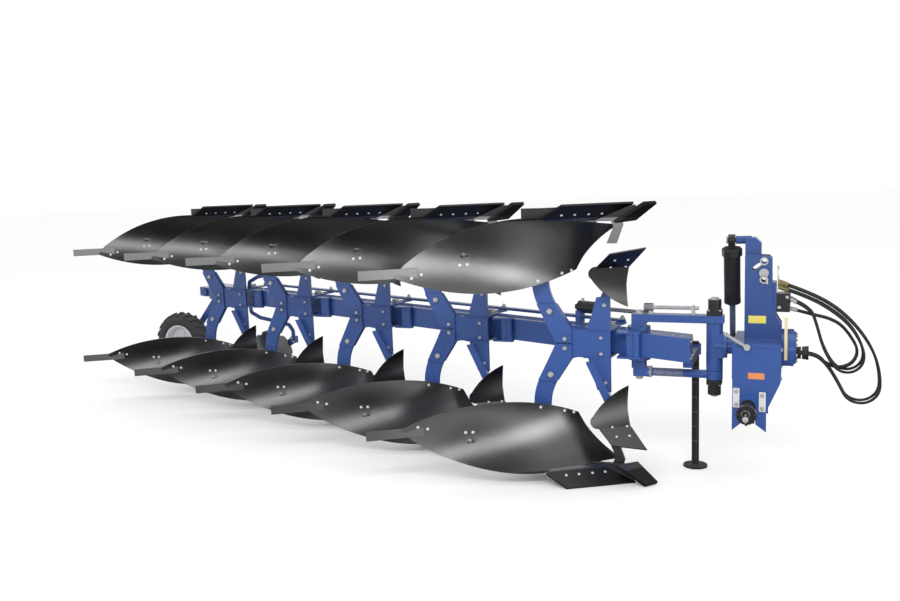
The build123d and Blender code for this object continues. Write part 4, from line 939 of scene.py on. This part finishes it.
@dataclass
class Frame(Assembly):
    """The CAD nodes of the beam, linkage, headstock, wheel and stand, with their finishes.

    Attributes:
        looks: Finish of each node.
    """

    looks: dict[str, Look] = field(default_factory=lambda: {
        "main_beam": Look.BLUE, "tie_rod": Look.BLUE, "front_pivot": Look.BLUE, "link_arms": Look.BLUE,
        "width_scale": Look.STEEL, "width_cylinder_barrel": Look.BLACK, "width_cylinder_rod": Look.CHROME,
        "turning_head": Look.BLUE, "head_pivot_caps": Look.BLACK, "turnover_cylinder_barrel": Look.BLACK,
        # The mast gets the darker copy of the blue paint, which is painted shade.
        "turnover_cylinder_rod": Look.CHROME, "headstock_box": Look.BLUE, "headstock_mast": Look.SHADED_BLUE,
        "lower_link_shaft": Look.BLACK, "shaft_clamps": Look.ZINC, "top_link_pin": Look.STEEL,
        "turnover_lever": Look.STEEL, "turnover_housing": Look.BLUE, "hose_guide": Look.BLACK,
        "valve_block": Look.BLACK, "valve_fittings": Look.STEEL, "hose_couplings": Look.BRASS,
        "coupling_bracket": Look.ZINC, "wheel_tyre": Look.RUBBER, "wheel_rim": Look.RIM, "wheel_arm": Look.BLUE,
        "parking_stand": Look.BLACK,
    })

    def build(self) -> None:
        """Gives the CAD nodes their finishes."""
        for node, look in self.looks.items():
            self.paints.dress_node(node, look)


@dataclass
class Beam(Assembly):
    """Details of the beam: screws of its nose plate and saddle, rings of the pivots and welds.

    Attributes:
        nose: Distance ahead of the first body of the nose plate, in mm.
        saddle: Distance back from the front pivot of each screw on top, in mm.
        spots: Distance back from the front pivot of each carrier pivot, in mm.
        gussets: Weld lines of each gusset, as the x and y of both ends, depth and bead radius in mm.
        tail: Distance back from the front pivot of the tail plate, in mm.
    """

    nose: float = 744.0
    saddle: tuple[float, ...] = (-330.0, -270.0, -150.0, 95.0)
    spots: tuple[float, ...] = (222.3, 1263.5, 2304.7, 3345.8, 4387.0)
    gussets: tuple[tuple[tuple[tuple[float, float], ...], float, float], ...] = (
        (((288.0, 66.0), (430.0, 7.0)), 86.0, 4.0), (((346.0, -15.0), (386.0, -15.0)), 73.0, 3.5),
    )
    tail: float = 5102.0

    def build(self) -> None:
        """Adds the screws, rings and welds."""
        screws = self.piece("beam_screws", "beam", Look.STEEL)
        for y in (-192.0, -92.0):
            for z in (-52.0, 52.0):
                screws.bolt(head_point(self.nose, y, z), FORWARD, 10.0)
        for back in self.saddle:
            screws.bolt(beam_point(back, -40.0, 75.0), UP, 8.0)
        for back in self.spots:
            for way in BOTH:
                screws.bush(beam_point(back, 0.0, way * 75.0), UP * way, 23.5, 36.0, 2.0)
        screws.finish()
        beads = self.piece("beam_welds", "beam", Look.BLUE)
        for index in range(FURROWS):
            for side in Side:
                for line, depth, radius in self.gussets:
                    beads.weld([furrow_point(index, side, x, y, depth) for x, y in line], radius)
        for height in (-40.0, 34.0):
            beads.weld([beam_point(self.tail, shift, height) for shift in (-47.0, 47.0)])
        beads.finish()


@dataclass
class Linkage(Assembly):
    """Details of the front linkage: pivot pins, width scale, turnbuckle and head caps.

    Attributes:
        pivot: Distance ahead of the first body of the front pivot, in mm.
        head: Distance ahead of the first body of the head pivot, in mm.
        rod: Height of the scale rod over the turnover axis, in mm.
        turnbuckle: Height of the turnbuckle over the turnover axis, in mm.
        knob: Radius of the knob's knurls in mm.
        knurls: Number of the knob's knurls.
    """

    pivot: float = 405.0
    head: float = 868.0
    rod: float = 228.0
    turnbuckle: float = -187.0
    knob: float = 24.5
    knurls: int = 16

    def pins(self) -> None:
        """Adds the pivot pins' nuts, the plates under the scale and the turnbuckle's nuts."""
        parts = self.piece("linkage_pins", "link_arms", Look.STEEL)
        for z, way in ((187.0, 1), (-214.0, -1)):
            centre = head_point(self.pivot, 0.0, z)
            parts.lathe(centre, UP * way, ((0.0, 30.0), (5.0, 30.0), (6.0, 28.0)), 28)
            parts.lathe(centre, UP * way, ((5.0, 23.0), (20.0, 23.0), (23.0, 19.0)), 6)
        for x in (480.0, 740.0):
            for y in (-11.0, 11.0):
                parts.bolt(head_point(x, y, 239.0), UP, 8.0)
            parts.block(head_point(x, 0.0, 189.0), (46.0, 56.0, 4.0), UP, FORWARD, 1.0)
        for x in (462.0, 852.0):
            parts.lathe(head_point(x, 0.0, self.turnbuckle), FORWARD, ((0.0, 38.0), (24.0, 38.0)), 6)
        parts.finish()

    def scale(self) -> None:
        """Adds the knurled knob, the threads of the scale rod and of the turnbuckle."""
        knob = self.piece("scale_knob", "link_arms", Look.BLACK)
        for step in range(self.knurls):
            angle = 2 * math.pi * step / self.knurls
            offset = mm(0.0, math.cos(angle) * self.knob, math.sin(angle) * self.knob)
            centre = head_point(467.0, 0.0, self.rod) + offset
            knob.block(centre, (54.0, 4.0, 4.0), offset.normalized(), FORWARD, 0.8)
        knob.finish()
        thread = self.piece("linkage_threads", "link_arms", Look.STEEL)
        for step in range(34):
            thread.ridge(head_point(520.0 + step * 6.0, 0.0, self.rod), FORWARD, 11.8, 13.4, 1.6, 20)
        for step in range(26):
            thread.ridge(head_point(500.0 + step * 7.0, 0.0, self.turnbuckle), FORWARD, 25.8, 27.6, 2.4, 28)
        thread.finish()

    def caps(self) -> None:
        """Adds the screws and nuts of the head's pivot caps."""
        screws = self.piece("head_cap_screws", "turning_head", Look.STEEL)
        for z, way in ((217.0, 1), (-244.0, -1)):
            for x in (-34.0, 34.0):
                for y in (-34.0, 34.0):
                    screws.bolt(head_point(self.head + x, y, z), UP * way, 9.0)
            end = head_point(self.head, 0.0, z + way * 68.0)
            screws.lathe(end, UP * way, ((0.0, 34.0), (3.0, 34.0), (5.0, 30.0)), 28)
            screws.lathe(end, UP * way, ((4.0, 22.0), (12.0, 22.0), (14.0, 18.0)), 6)
        screws.finish()

    def build(self) -> None:
        """Adds every detail."""
        self.pins()
        self.scale()
        self.caps()


@dataclass
class Cylinders(Assembly):
    """Details of the width cylinder and the turnover cylinder.

    Attributes:
        slant: Lean of the turnover cylinder from upright, in degrees.
        pin: Distance ahead and height of the turnover cylinder's upper pin, in mm.
        axis: Shift and height of the width cylinder's axis on the beam, in mm.
        ports: Distance of each port of the turnover cylinder from its upper pin, in mm.
    """

    slant: float = 14.66
    pin: tuple[float, float] = (965.0, 650.0)
    axis: tuple[float, float] = (90.0, 178.0)
    ports: tuple[float, float] = (112.0, 372.0)

    def _on_width(self, back: float, rise: float = 0.0) -> Vector:
        """Returns the point back along the width cylinder's axis and rise over it, in mm."""
        shift, height = self.axis
        return beam_point(back, shift, height + rise)

    def width(self) -> None:
        """Adds the cap, gland and ports of the width cylinder."""
        rings = self.piece("width_cylinder_rings", "beam", Look.BLACK)
        front = self._on_width(352.0)
        rings.ring(front, -ALONG, ((-14.0, 43.0), (0.0, 43.0), (2.0, 41.0), (2.0, 15.2), (-14.0, 15.2)))
        rings.bush(front - ALONG * 2.0 * MM, -ALONG, 15.2, 30.0, 10.0, 6)
        back = self._on_width(520.0)
        rings.lathe(back, ALONG, ((-12.0, 43.6), (4.0, 43.6), (7.0, 40.0)), 32)
        rings.block(back + ALONG * 22.0 * MM, (30.0, 34.0, 34.0), UP, ALONG, 4.0)
        rings.finish()
        ports = self.piece("width_cylinder_ports", "beam", Look.STEEL)
        for along in (374.0, 498.0):
            port = self._on_width(along, 41.0)
            ports.lathe(port, UP, ((-3.0, 13.0), (8.0, 13.0), (9.0, 11.0)), 16)
            ports.lathe(port, UP, ((8.0, 10.5), (20.0, 10.5)), 6)
        ports.finish()
        eye = self.piece("width_rod_eye", "width_rod", Look.STEEL)
        eye.ring(self._on_width(0.0, 16.0), UP, ((0.0, 12.0), (0.0, 23.0), (4.0, 20.0), (4.0, 12.0)))
        eye.finish()

    def _on_turnover(self, along: float, out: float = 0.0) -> Vector:
        """Finds a point on the turnover cylinder.

        Args:
            along: Distance from its upper pin towards its rod's eye, in mm.
            out: Distance out to its far side in mm.

        Returns:
            The point.
        """
        ahead, height = self.pin
        down, side = self._directions()
        return head_point(ahead, 0.0, height) + (down * along + side * out) * MM

    def _directions(self) -> tuple[Vector, Vector]:
        """Finds how the turnover cylinder lies.

        Returns:
            Its direction towards its rod's eye, and the one out of its far side.
        """
        slant = math.radians(self.slant)
        down = Vector((0.0, math.sin(slant), -math.cos(slant)))
        return down, Vector((0.0, -down.z, down.y))

    def turnover(self) -> None:
        """Adds the head block, gland and pipes of the turnover cylinder."""
        down, side = self._directions()
        head = self.piece("turnover_cylinder_head", "turnover_barrel", Look.BLACK)
        head.bush(self._on_turnover(56.0), down, 44.0, 60.0, 44.0, 8)
        gland = ((0.0, 50.4), (22.0, 50.4), (25.0, 48.0), (25.0, 18.8), (0.0, 18.8))
        head.ring(self._on_turnover(386.0), down, gland)
        head.bush(self._on_turnover(410.0), down, 18.8, 34.0, 10.0, 6)
        head.finish()
        pipes = self.piece("turnover_cylinder_pipes", "turnover_barrel", Look.STEEL)
        for along in self.ports:
            pipes.lathe(self._on_turnover(along, 48.0), side, ((-2.0, 12.0), (10.0, 12.0), (11.0, 10.0)), 6)
        line = ((372.0, 56.0), (350.0, 62.0), (130.0, 62.0), (112.0, 56.0))
        pipes.tube([self._on_turnover(along, out) for along, out in line], 5.0, 12)
        ahead, height = self.pin
        pipes.lathe(head_point(ahead - 24.0, 0.0, height), -FORWARD, ((0.0, 22.0), (6.0, 22.0), (8.0, 18.0)))
        pipes.finish()

    def build(self) -> None:
        """Adds every detail."""
        self.width()
        self.turnover()


@dataclass
class Headstock(Assembly):
    """Details of the headstock: plates, pins, welds, couplings and valves.

    Attributes:
        half: Half of the box's width in mm.
        front: Distance ahead of the first body of the box's front face, in mm.
        plate_face: Distance of the mast plate's outer face from the axis, in mm.
        holes: Distance ahead and height of each top link hole, in mm.
        tips: Distance ahead and height of each coupling's tip, in mm.
        tip_tilt: Tilt of the couplings down from level, in degrees.
        fittings: Height, spread and tilt of each valve fitting, in mm and degrees.
        shaft: Distance ahead and height of the lower link shaft, in mm.
        clamp_bolts: Distance ahead and height of each bolt of the shaft clamps, in mm.
        valve: Distance ahead of the valve block's front face, in mm.
        plugs: Distance ahead and height of each plug on the valve block's sides, in mm.
    """

    half: float = 215.0
    front: float = 1256.0
    plate_face: float = 65.0
    holes: tuple[tuple[float, float], ...] = ((1153.0, 417.0), (1153.0, 527.0))
    tips: tuple[tuple[float, float], ...] = ((1285.0, 379.0), (1290.0, 349.0))
    tip_tilt: float = 20.0
    fittings: tuple[tuple[float, float, float], ...] = ((298.0, 36.0, 27.0), (238.0, 13.0, 15.0))
    shaft: tuple[float, float] = (1078.0, -325.0)
    clamp_bolts: tuple[tuple[float, float], ...] = (
        (1011.0, -232.0), (1011.0, -312.0), (1158.0, -250.0), (1158.0, -330.0),
    )
    valve: float = 1300.0
    plugs: tuple[tuple[float, float], ...] = ((1240.0, 250.0), (1284.0, 312.0))

    def plates(self) -> None:
        """Adds the blank warning plates, the housing's strip and the spacer on top of the mast."""
        for name, look, place, size, chamfer in (
            ("blank_warning_plate", Look.AMBER, (1122.0, -self.half - 0.8, -137.0), (92.0, 38.0, 1.6), 0.4),
            ("blank_label", Look.YELLOW, (1118.0, -self.plate_face - 0.8, 176.0), (100.0, 46.0, 1.6), 0.4),
            ("housing_strip", Look.BEIGE, (1281.0, -115.0, 72.0), (18.0, 256.0, 4.0), 0.8),
        ):
            plate = self.piece(name, "headstock", look)
            plate.block(head_point(*place), size, -LEFT, FORWARD, chamfer)
            plate.finish()
        # The spacer gets the darker copy of the blue paint, which is painted shade.
        cover = self.piece("mast_top_spacer", "headstock", Look.SHADED_BLUE)
        cover.block(head_point(1092.0, 0.0, 575.0), (86.0, 2 * self.plate_face - 4.0, 8.0), UP, FORWARD, 1.0)
        for way in BOTH:
            cover.block(head_point(1092.0, way * 56.0, 566.0), (86.0, 14.0, 18.0), UP, FORWARD, 1.0)
        cover.finish()

    def pins(self) -> None:
        """Adds the bushes, the pins' grips, the bolts of the bearing, clamps and box, and the shaft collars."""
        steel = self.piece("headstock_fasteners", "headstock", Look.STEEL)
        for x, z in self.holes:
            for way in BOTH:
                place = head_point(x, way * self.plate_face, z)
                steel.ring(place, LEFT * way, ((0.0, 16.4), (0.0, 25.0), (5.0, 24.0), (5.0, 16.4)))
        steel.bolt_circle(head_point(self.front + 82.0, 0.0, 0.0), FORWARD, 82.0, 8, 11.0)
        grip = ((0.0, 0.0, 0.0), (0.0, -14.0, 0.0), (14.0, -24.0, -18.0), (20.0, -26.0, -60.0))
        steel.tube([head_point(1153.0, -87.0, 457.0) + mm(*point) for point in grip], 6.0, 12)
        ahead, height = self.shaft
        for way in BOTH:
            steel.lathe(head_point(ahead, way * 505.0, height), LEFT * way, ((-2.0, 17.0), (0.0, 17.0), (2.0, 14.0)))
            steel.tube([head_point(ahead, way * 488.0, height + rise) for rise in (-25.0, 25.0)], 4.5, 12)
            steel.ridge(head_point(ahead, way * 488.0, height + 25.0), LEFT, 22.0, 24.0, 2.0, 28)
        for x, z in self.clamp_bolts:
            for way in BOTH:
                steel.bolt(head_point(x, way * (self.half + 10.0), z), LEFT * way, 12.0)
        for z in (20.0, -150.0):
            for y in (-190.0, 190.0):
                steel.bolt(head_point(self.front, y, z), FORWARD, 12.0)
        steel.finish()
        black = self.piece("shaft_collars", "headstock", Look.BLACK)
        for way in BOTH:
            for step in range(8):
                angle = 2 * math.pi * step / 8
                out = Vector((math.cos(angle), 0.0, math.sin(angle)))
                place = head_point(ahead, way * 412.0, height) + out * 50.0 * MM
                black.block(place, (22.0, 12.0, 14.0), LEFT * way, out, 2.0)
        black.finish()

    def welds(self) -> None:
        """Adds the weld beads of the box and mast."""
        beads = self.piece("headstock_welds", "headstock", Look.BLUE)
        for way in BOTH:
            for y in (45.0, 65.0):
                beads.weld([head_point(x, way * y, 56.0) for x in (1050.0, 1250.0)], 4.5)
            for x in (987.0, self.front):
                beads.weld([head_point(x, way * 195.0, z) for z in (50.0, -170.0)])
        beads.weld([head_point(x, -self.half, 33.0) for x in (1003.0, 1240.0)], 3.5)
        beads.finish()

    def hydraulics(self) -> None:
        """Adds the ridges of the couplings, the ferrules of the fittings and the valve's screws."""
        brass = self.piece("coupling_ridges", "headstock", Look.BRASS)
        lean = tilted(self.tip_tilt)
        for x, z in self.tips:
            for way in BOTH:
                tip = head_point(x, way * 28.0, z)
                brass.bush(tip - lean * 46.0 * MM, lean, 11.6, 14.2, 14.0, 6)
                for step in range(4):
                    brass.ridge(tip - lean * (26.0 - step * 6.0) * MM, lean, 11.4, 13.6, 2.0)
        brass.finish()
        steel = self.piece("hydraulic_ferrules", "headstock", Look.STEEL)
        for z, spread, tilt in self.fittings:
            lean = tilted(tilt)
            for way in BOTH:
                base = head_point(self.valve, way * spread, z)
                steel.bush(base + lean * 6.0 * MM, lean, 10.1, 12.4, 9.0, 6)
                steel.bush(base + lean * 24.0 * MM, lean, 10.1, 11.6, 12.0)
        for y in (-40.0, 40.0):
            for z in (234.0, 268.0, 322.0):
                steel.bolt(head_point(self.valve, y, z), FORWARD, 5.0)
        for z in (480.0, 424.0):
            for y in (-46.0, 46.0):
                steel.bolt(head_point(1231.0, y, z), FORWARD, 7.0)
        for way in BOTH:
            for x, z in self.plugs:
                steel.lathe(head_point(x, way * 50.0, z), LEFT * way, ((0.0, 11.0), (7.0, 11.0), (8.0, 9.0)), 6)
        steel.finish()

    def build(self) -> None:
        """Adds every detail."""
        self.plates()
        self.pins()
        self.welds()
        self.hydraulics()


@dataclass
class Wheel(Assembly):
    """Details of the depth wheel and its arm.

    Attributes:
        centre: Distance ahead of and to the left of the first body, in mm; its height is its radius.
        radius: Outer radius in mm.
        pivot: Distance ahead of the first body and height over the axis of the arm's pivot, in mm.
        arm: Distance of the arm's near face to the left of the first body, in mm.
        ribs: Radius of each rib on the sidewall, in mm.
        lip: Section of the rim's lip, as distance outwards and radius in mm.
    """

    centre: tuple[float, float] = (-4890.0, 2250.0)
    radius: float = 318.0
    pivot: tuple[float, float] = (-4420.0, -12.0)
    arm: float = 2356.0
    ribs: tuple[float, ...] = (206.0, 232.0, 240.0)
    lip: tuple[tuple[float, float], ...] = ((0.0, 168.0), (0.0, 182.0), (7.0, 184.0), (8.0, 181.0), (3.0, 168.0))

    def _hub(self, y: float, rise: float = 0.0) -> Vector:
        """Finds a point near the wheel's axle.

        Args:
            y: Distance to the left of the wheel's centre in mm.
            rise: Height over the axle in mm.

        Returns:
            The point.
        """
        ahead, left = self.centre
        place = FIRST + mm(ahead, left + y, 0.0)
        place.z = (self.radius + rise) * MM
        return place

    def build(self) -> None:
        """Adds sidewall ribs, rim lip, bolts, hub cap and valve."""
        ribs = self.piece("tyre_sidewall_ribs", "wheel", Look.RUBBER)
        lips = self.piece("rim_lips", "wheel", Look.RIM)
        for way in BOTH:
            for radius in self.ribs:
                section = ((-3.0, radius - 3.5), (1.6, radius - 1.0), (1.6, radius + 1.0), (-3.0, radius + 3.5))
                ribs.ring(self._hub(way * 93.0), LEFT * way, section, 72)
            lips.ring(self._hub(way * 77.0), LEFT * way, self.lip, 72)
        ribs.finish()
        lips.finish()
        bolts = self.piece("wheel_bolts", "wheel", Look.STEEL)
        bolts.bolt_circle(self._hub(8.0), -LEFT, 84.0, 6, 12.0)
        bolts.lathe(self._hub(-30.0), -LEFT, ((-2.0, 44.0), (10.0, 44.0), (22.0, 36.0), (27.0, 18.0)), 32)
        bolts.lathe(self._hub(7.0, 135.0), -LEFT, ((0.0, 5.0), (26.0, 5.0), (27.0, 3.5)), 12)
        bolts.finish()
        arm = self.piece("wheel_arm_nuts", "wheel_arm", Look.STEEL)
        ahead, height = self.pivot
        arm.bolt(self._hub(self.arm - self.centre[1] + 28.0), LEFT, 24.0, stub=True)
        arm.bolt(FIRST + mm(ahead, self.arm + 28.0, height), LEFT, 26.0, stub=True)
        arm.finish()


@dataclass
class Stand(Assembly):
    """Details of the parking stand.

    Attributes:
        place: Distance ahead of and to the left of the first body, in mm.
        radius: Radius of the tube in mm.
        holes: Height over the floor of each pin hole, in mm.
    """

    place: tuple[float, float] = (720.0, 430.0)
    radius: float = 24.0
    holes: tuple[float, ...] = (180.0, 280.0, 380.0, 480.0, 580.0, 680.0)

    def build(self) -> None:
        """Adds the holes' rims, the locking pin and the foot's weld."""
        base = FIRST + mm(*self.place, 0.0)
        base.z = 0.0
        rims = self.piece("stand_holes", "stand", Look.STEEL)
        for height in self.holes:
            for way in BOTH:
                place = base + mm(0.0, way * (self.radius - 3.0), height)
                rims.ring(place, LEFT * way, ((0.0, 6.5), (2.4, 6.5), (1.8, 8.5), (0.0, 8.5)), 20)
        rims.finish()
        foot = self.piece("stand_foot_weld", "stand", Look.BLACK)
        foot.ring(base + mm(0.0, 0.0, 12.0), UP, ((0.0, self.radius), (0.0, 31.0), (7.0, self.radius)), 32)
        foot.finish()
        pin = self.piece("stand_pin", "beam", Look.STEEL)
        collar = FIRST + mm(*self.place, -95.0)
        pin.lathe(collar + mm(0.0, -36.0, 0.0), -LEFT, ((-2.0, 9.0), (16.0, 9.0), (20.0, 6.0)), 16)
        pin.ridge(collar + mm(0.0, -50.0, -12.0), LEFT, 12.0, 13.6, 1.6, 24)
        pin.finish()


@dataclass
class Studio:
    """Camera, floor and lights.

    Attributes:
        place: Camera position in metres.
        yaw: Turn of the view from +Y towards -X, in degrees.
        pitch: Tilt of the view downwards, in degrees.
        roll: Turn about the view, in degrees.
        focal: Focal length in mm on a 36 mm wide sensor.
        strip_azimuth: Direction of the strip light that polished faces see, in degrees from +X towards +Y.
        strip: Brightness of the strip by the sine of the angle to its side.
        reach: Brightness of the strip by height of the direction, from 0 straight down to 1 straight up.
        band: Brightness that polished faces see everywhere, by height of the direction.
        strip_power: Factor on the brightness of the strip.
        surround: Strength of the surround.
        lamp: Position of the key light in metres.
        target: Point that the key light looks at, in metres.
        lamp_size: Width and height of the key light in metres.
        lamp_power: Power of the key light in watts.
    """

    place: tuple[float, float, float] = (3.227, -6.292, 1.995)
    yaw: float = 21.72
    pitch: float = 8.08
    roll: float = -2.13
    focal: float = 35.04
    strip_azimuth: float = -44.0
    strip: tuple[tuple[float, float], ...] = (
        (0.0, 1.0), (1.0, 0.0), (0.04, 0.95), (0.10, 0.35), (0.16, 0.05), (0.3, 0.0),
    )
    reach: tuple[tuple[float, float], ...] = (
        (0.0, 0.0), (1.0, 0.0), (0.08, 0.35), (0.36, 0.45), (0.47, 1.0), (0.55, 0.95), (0.68, 0.30), (0.78, 0.45),
        (0.88, 0.05),
    )
    band: tuple[tuple[float, float], ...] = (
        (0.0, 0.05), (1.0, 0.95), (0.28, 0.015), (0.40, 0.05), (0.46, 0.60), (0.50, 1.0), (0.55, 0.75), (0.62, 0.08),
        (0.80, 0.02), (0.92, 0.25),
    )
    strip_power: float = 1.1
    surround: float = 1.1
    lamp: tuple[float, float, float] = (2.565, -6.53, 5.0)
    target: tuple[float, float, float] = (0.065, -0.03, 0.9)
    lamp_size: tuple[float, float] = (6.0, 1.0)
    lamp_power: float = 260.0

    def camera(self) -> None:
        """Adds the camera at the photograph's viewpoint."""
        yaw, pitch, roll = (math.radians(value) for value in (self.yaw, self.pitch, self.roll))
        right = Vector((math.cos(yaw), math.sin(yaw), 0.0))
        level = Vector((-math.sin(yaw), math.cos(yaw), 0.0))
        ahead = level * math.cos(pitch) - UP * math.sin(pitch)
        above = UP * math.cos(pitch) + level * math.sin(pitch)
        turned_right = right * math.cos(roll) + above * math.sin(roll)
        turned_up = above * math.cos(roll) - right * math.sin(roll)
        data = bpy.data.cameras.new("camera")
        data.lens = self.focal
        data.sensor_width = 36.0
        camera = bpy.data.objects.new("camera", data)
        matrix = Matrix((turned_right, turned_up, -ahead)).transposed().to_4x4()
        matrix.translation = Vector(self.place)
        camera.matrix_world = matrix
        bpy.context.scene.collection.objects.link(camera)
        bpy.context.scene.camera = camera

    def light(self) -> None:
        """Adds the key light, which polished faces don't see."""
        data = bpy.data.lights.new("key", "AREA")
        data.shape = "RECTANGLE"
        data.size, data.size_y = self.lamp_size
        data.energy = self.lamp_power
        lamp = bpy.data.objects.new("key", data)
        lamp.location = self.lamp
        lamp.visible_glossy = False
        lamp.rotation_euler = (Vector(self.target) - Vector(self.lamp)).to_track_quat("-Z", "Y").to_euler()
        bpy.context.scene.collection.objects.link(lamp)

    def floor(self) -> None:
        """Adds a pale floor under the plough."""
        data = bpy.data.meshes.new("studio_floor")
        data.from_pydata([(-60, -60, 0), (60, -60, 0), (60, 60, 0), (-60, 60, 0)], [], [(0, 1, 2, 3)])
        material = bpy.data.materials.new("studio_floor")
        material.use_nodes = True
        shader = material.node_tree.nodes["Principled BSDF"]
        shader.inputs["Base Color"].default_value = (0.94, 0.94, 0.94, 1.0)
        shader.inputs["Roughness"].default_value = 0.9
        data.materials.append(material)
        floor = bpy.data.objects.new("studio_floor", data)
        bpy.context.scene.collection.objects.link(floor)
        floor.visible_glossy = False

    @staticmethod
    def _ramp(tree: bpy.types.NodeTree, value: bpy.types.NodeSocket, knots: Sequence[tuple[float, float]]
              ) -> bpy.types.NodeSocket:
        """Adds a smooth ramp.

        Args:
            tree: Tree to add to.
            value: Its input.
            knots: Position and brightness of each knot; the first two are the ends.

        Returns:
            The ramp's color socket.
        """
        ramp = tree.nodes.new("ShaderNodeValToRGB")
        ramp.color_ramp.interpolation = "EASE"
        for number, (spot, level) in enumerate(knots):
            knot = ramp.color_ramp.elements[number] if number < 2 else ramp.color_ramp.elements.new(spot)
            knot.position = spot
            knot.color = (level, level, level, 1.0)
        tree.links.new(value, ramp.inputs[0])
        return ramp.outputs["Color"]

    def world(self) -> None:
        """Sets a white surround that polished faces see as two soft strips and a level band of light."""
        world = bpy.data.worlds.new("studio")
        world.use_nodes = True
        tree = world.node_tree
        background = tree.nodes["Background"]
        rays = tree.nodes.new("ShaderNodeLightPath")
        place = tree.nodes.new("ShaderNodeTexCoord")
        split = tree.nodes.new("ShaderNodeSeparateXYZ")
        tree.links.new(place.outputs["Generated"], split.inputs[0])
        x, y, z = split.outputs
        height = math_node(tree, "MULTIPLY_ADD", z, 0.5, 0.5)
        turn = math.radians(self.strip_azimuth)
        off = math_node(tree, "ADD", math_node(tree, "MULTIPLY", x, -math.sin(turn)),
                        math_node(tree, "MULTIPLY", y, math.cos(turn)))
        flat = math_node(tree, "SQRT", math_node(tree, "SUBTRACT", 1.0, math_node(tree, "MULTIPLY", z, z)))
        away = math_node(tree, "DIVIDE", math_node(tree, "ABSOLUTE", off), math_node(tree, "MAXIMUM", flat, 0.01))
        strip = math_node(tree, "MULTIPLY", self._ramp(tree, away, self.strip), self._ramp(tree, height, self.reach))
        band = self._ramp(tree, height, self.band)
        total = math_node(tree, "MULTIPLY_ADD", strip, self.strip_power, band)
        blend = tree.nodes.new("ShaderNodeMix")
        blend.data_type = "RGBA"
        tree.links.new(rays.outputs["Is Glossy Ray"], blend.inputs["Factor"])
        colors = [socket for socket in blend.inputs if socket.type == "RGBA"]
        colors[0].default_value = (1.0, 1.0, 1.0, 1.0)
        tree.links.new(total, colors[1])
        tree.links.new(next(s for s in blend.outputs if s.type == "RGBA"), background.inputs["Color"])
        background.inputs["Strength"].default_value = self.surround
        bpy.context.scene.world = world
        bpy.context.scene.view_settings.view_transform = "Standard"

    def build(self) -> None:
        """Adds everything."""
        self.camera()
        self.floor()
        self.world()
        self.light()


def main() -> None:
    """Builds and dresses every sub-assembly."""
    logging.basicConfig(level=logging.INFO, format="%(name)s: %(message)s")
    paints = Paints()
    for index in range(FURROWS):
        Furrow(paints, index).build()
    for kind in (Frame, Coulters, Beam, Linkage, Cylinders, Headstock, Hoses, Wheel, Stand):
        kind(paints).build()
    Studio().build()


if __name__ == "__main__":
    main()
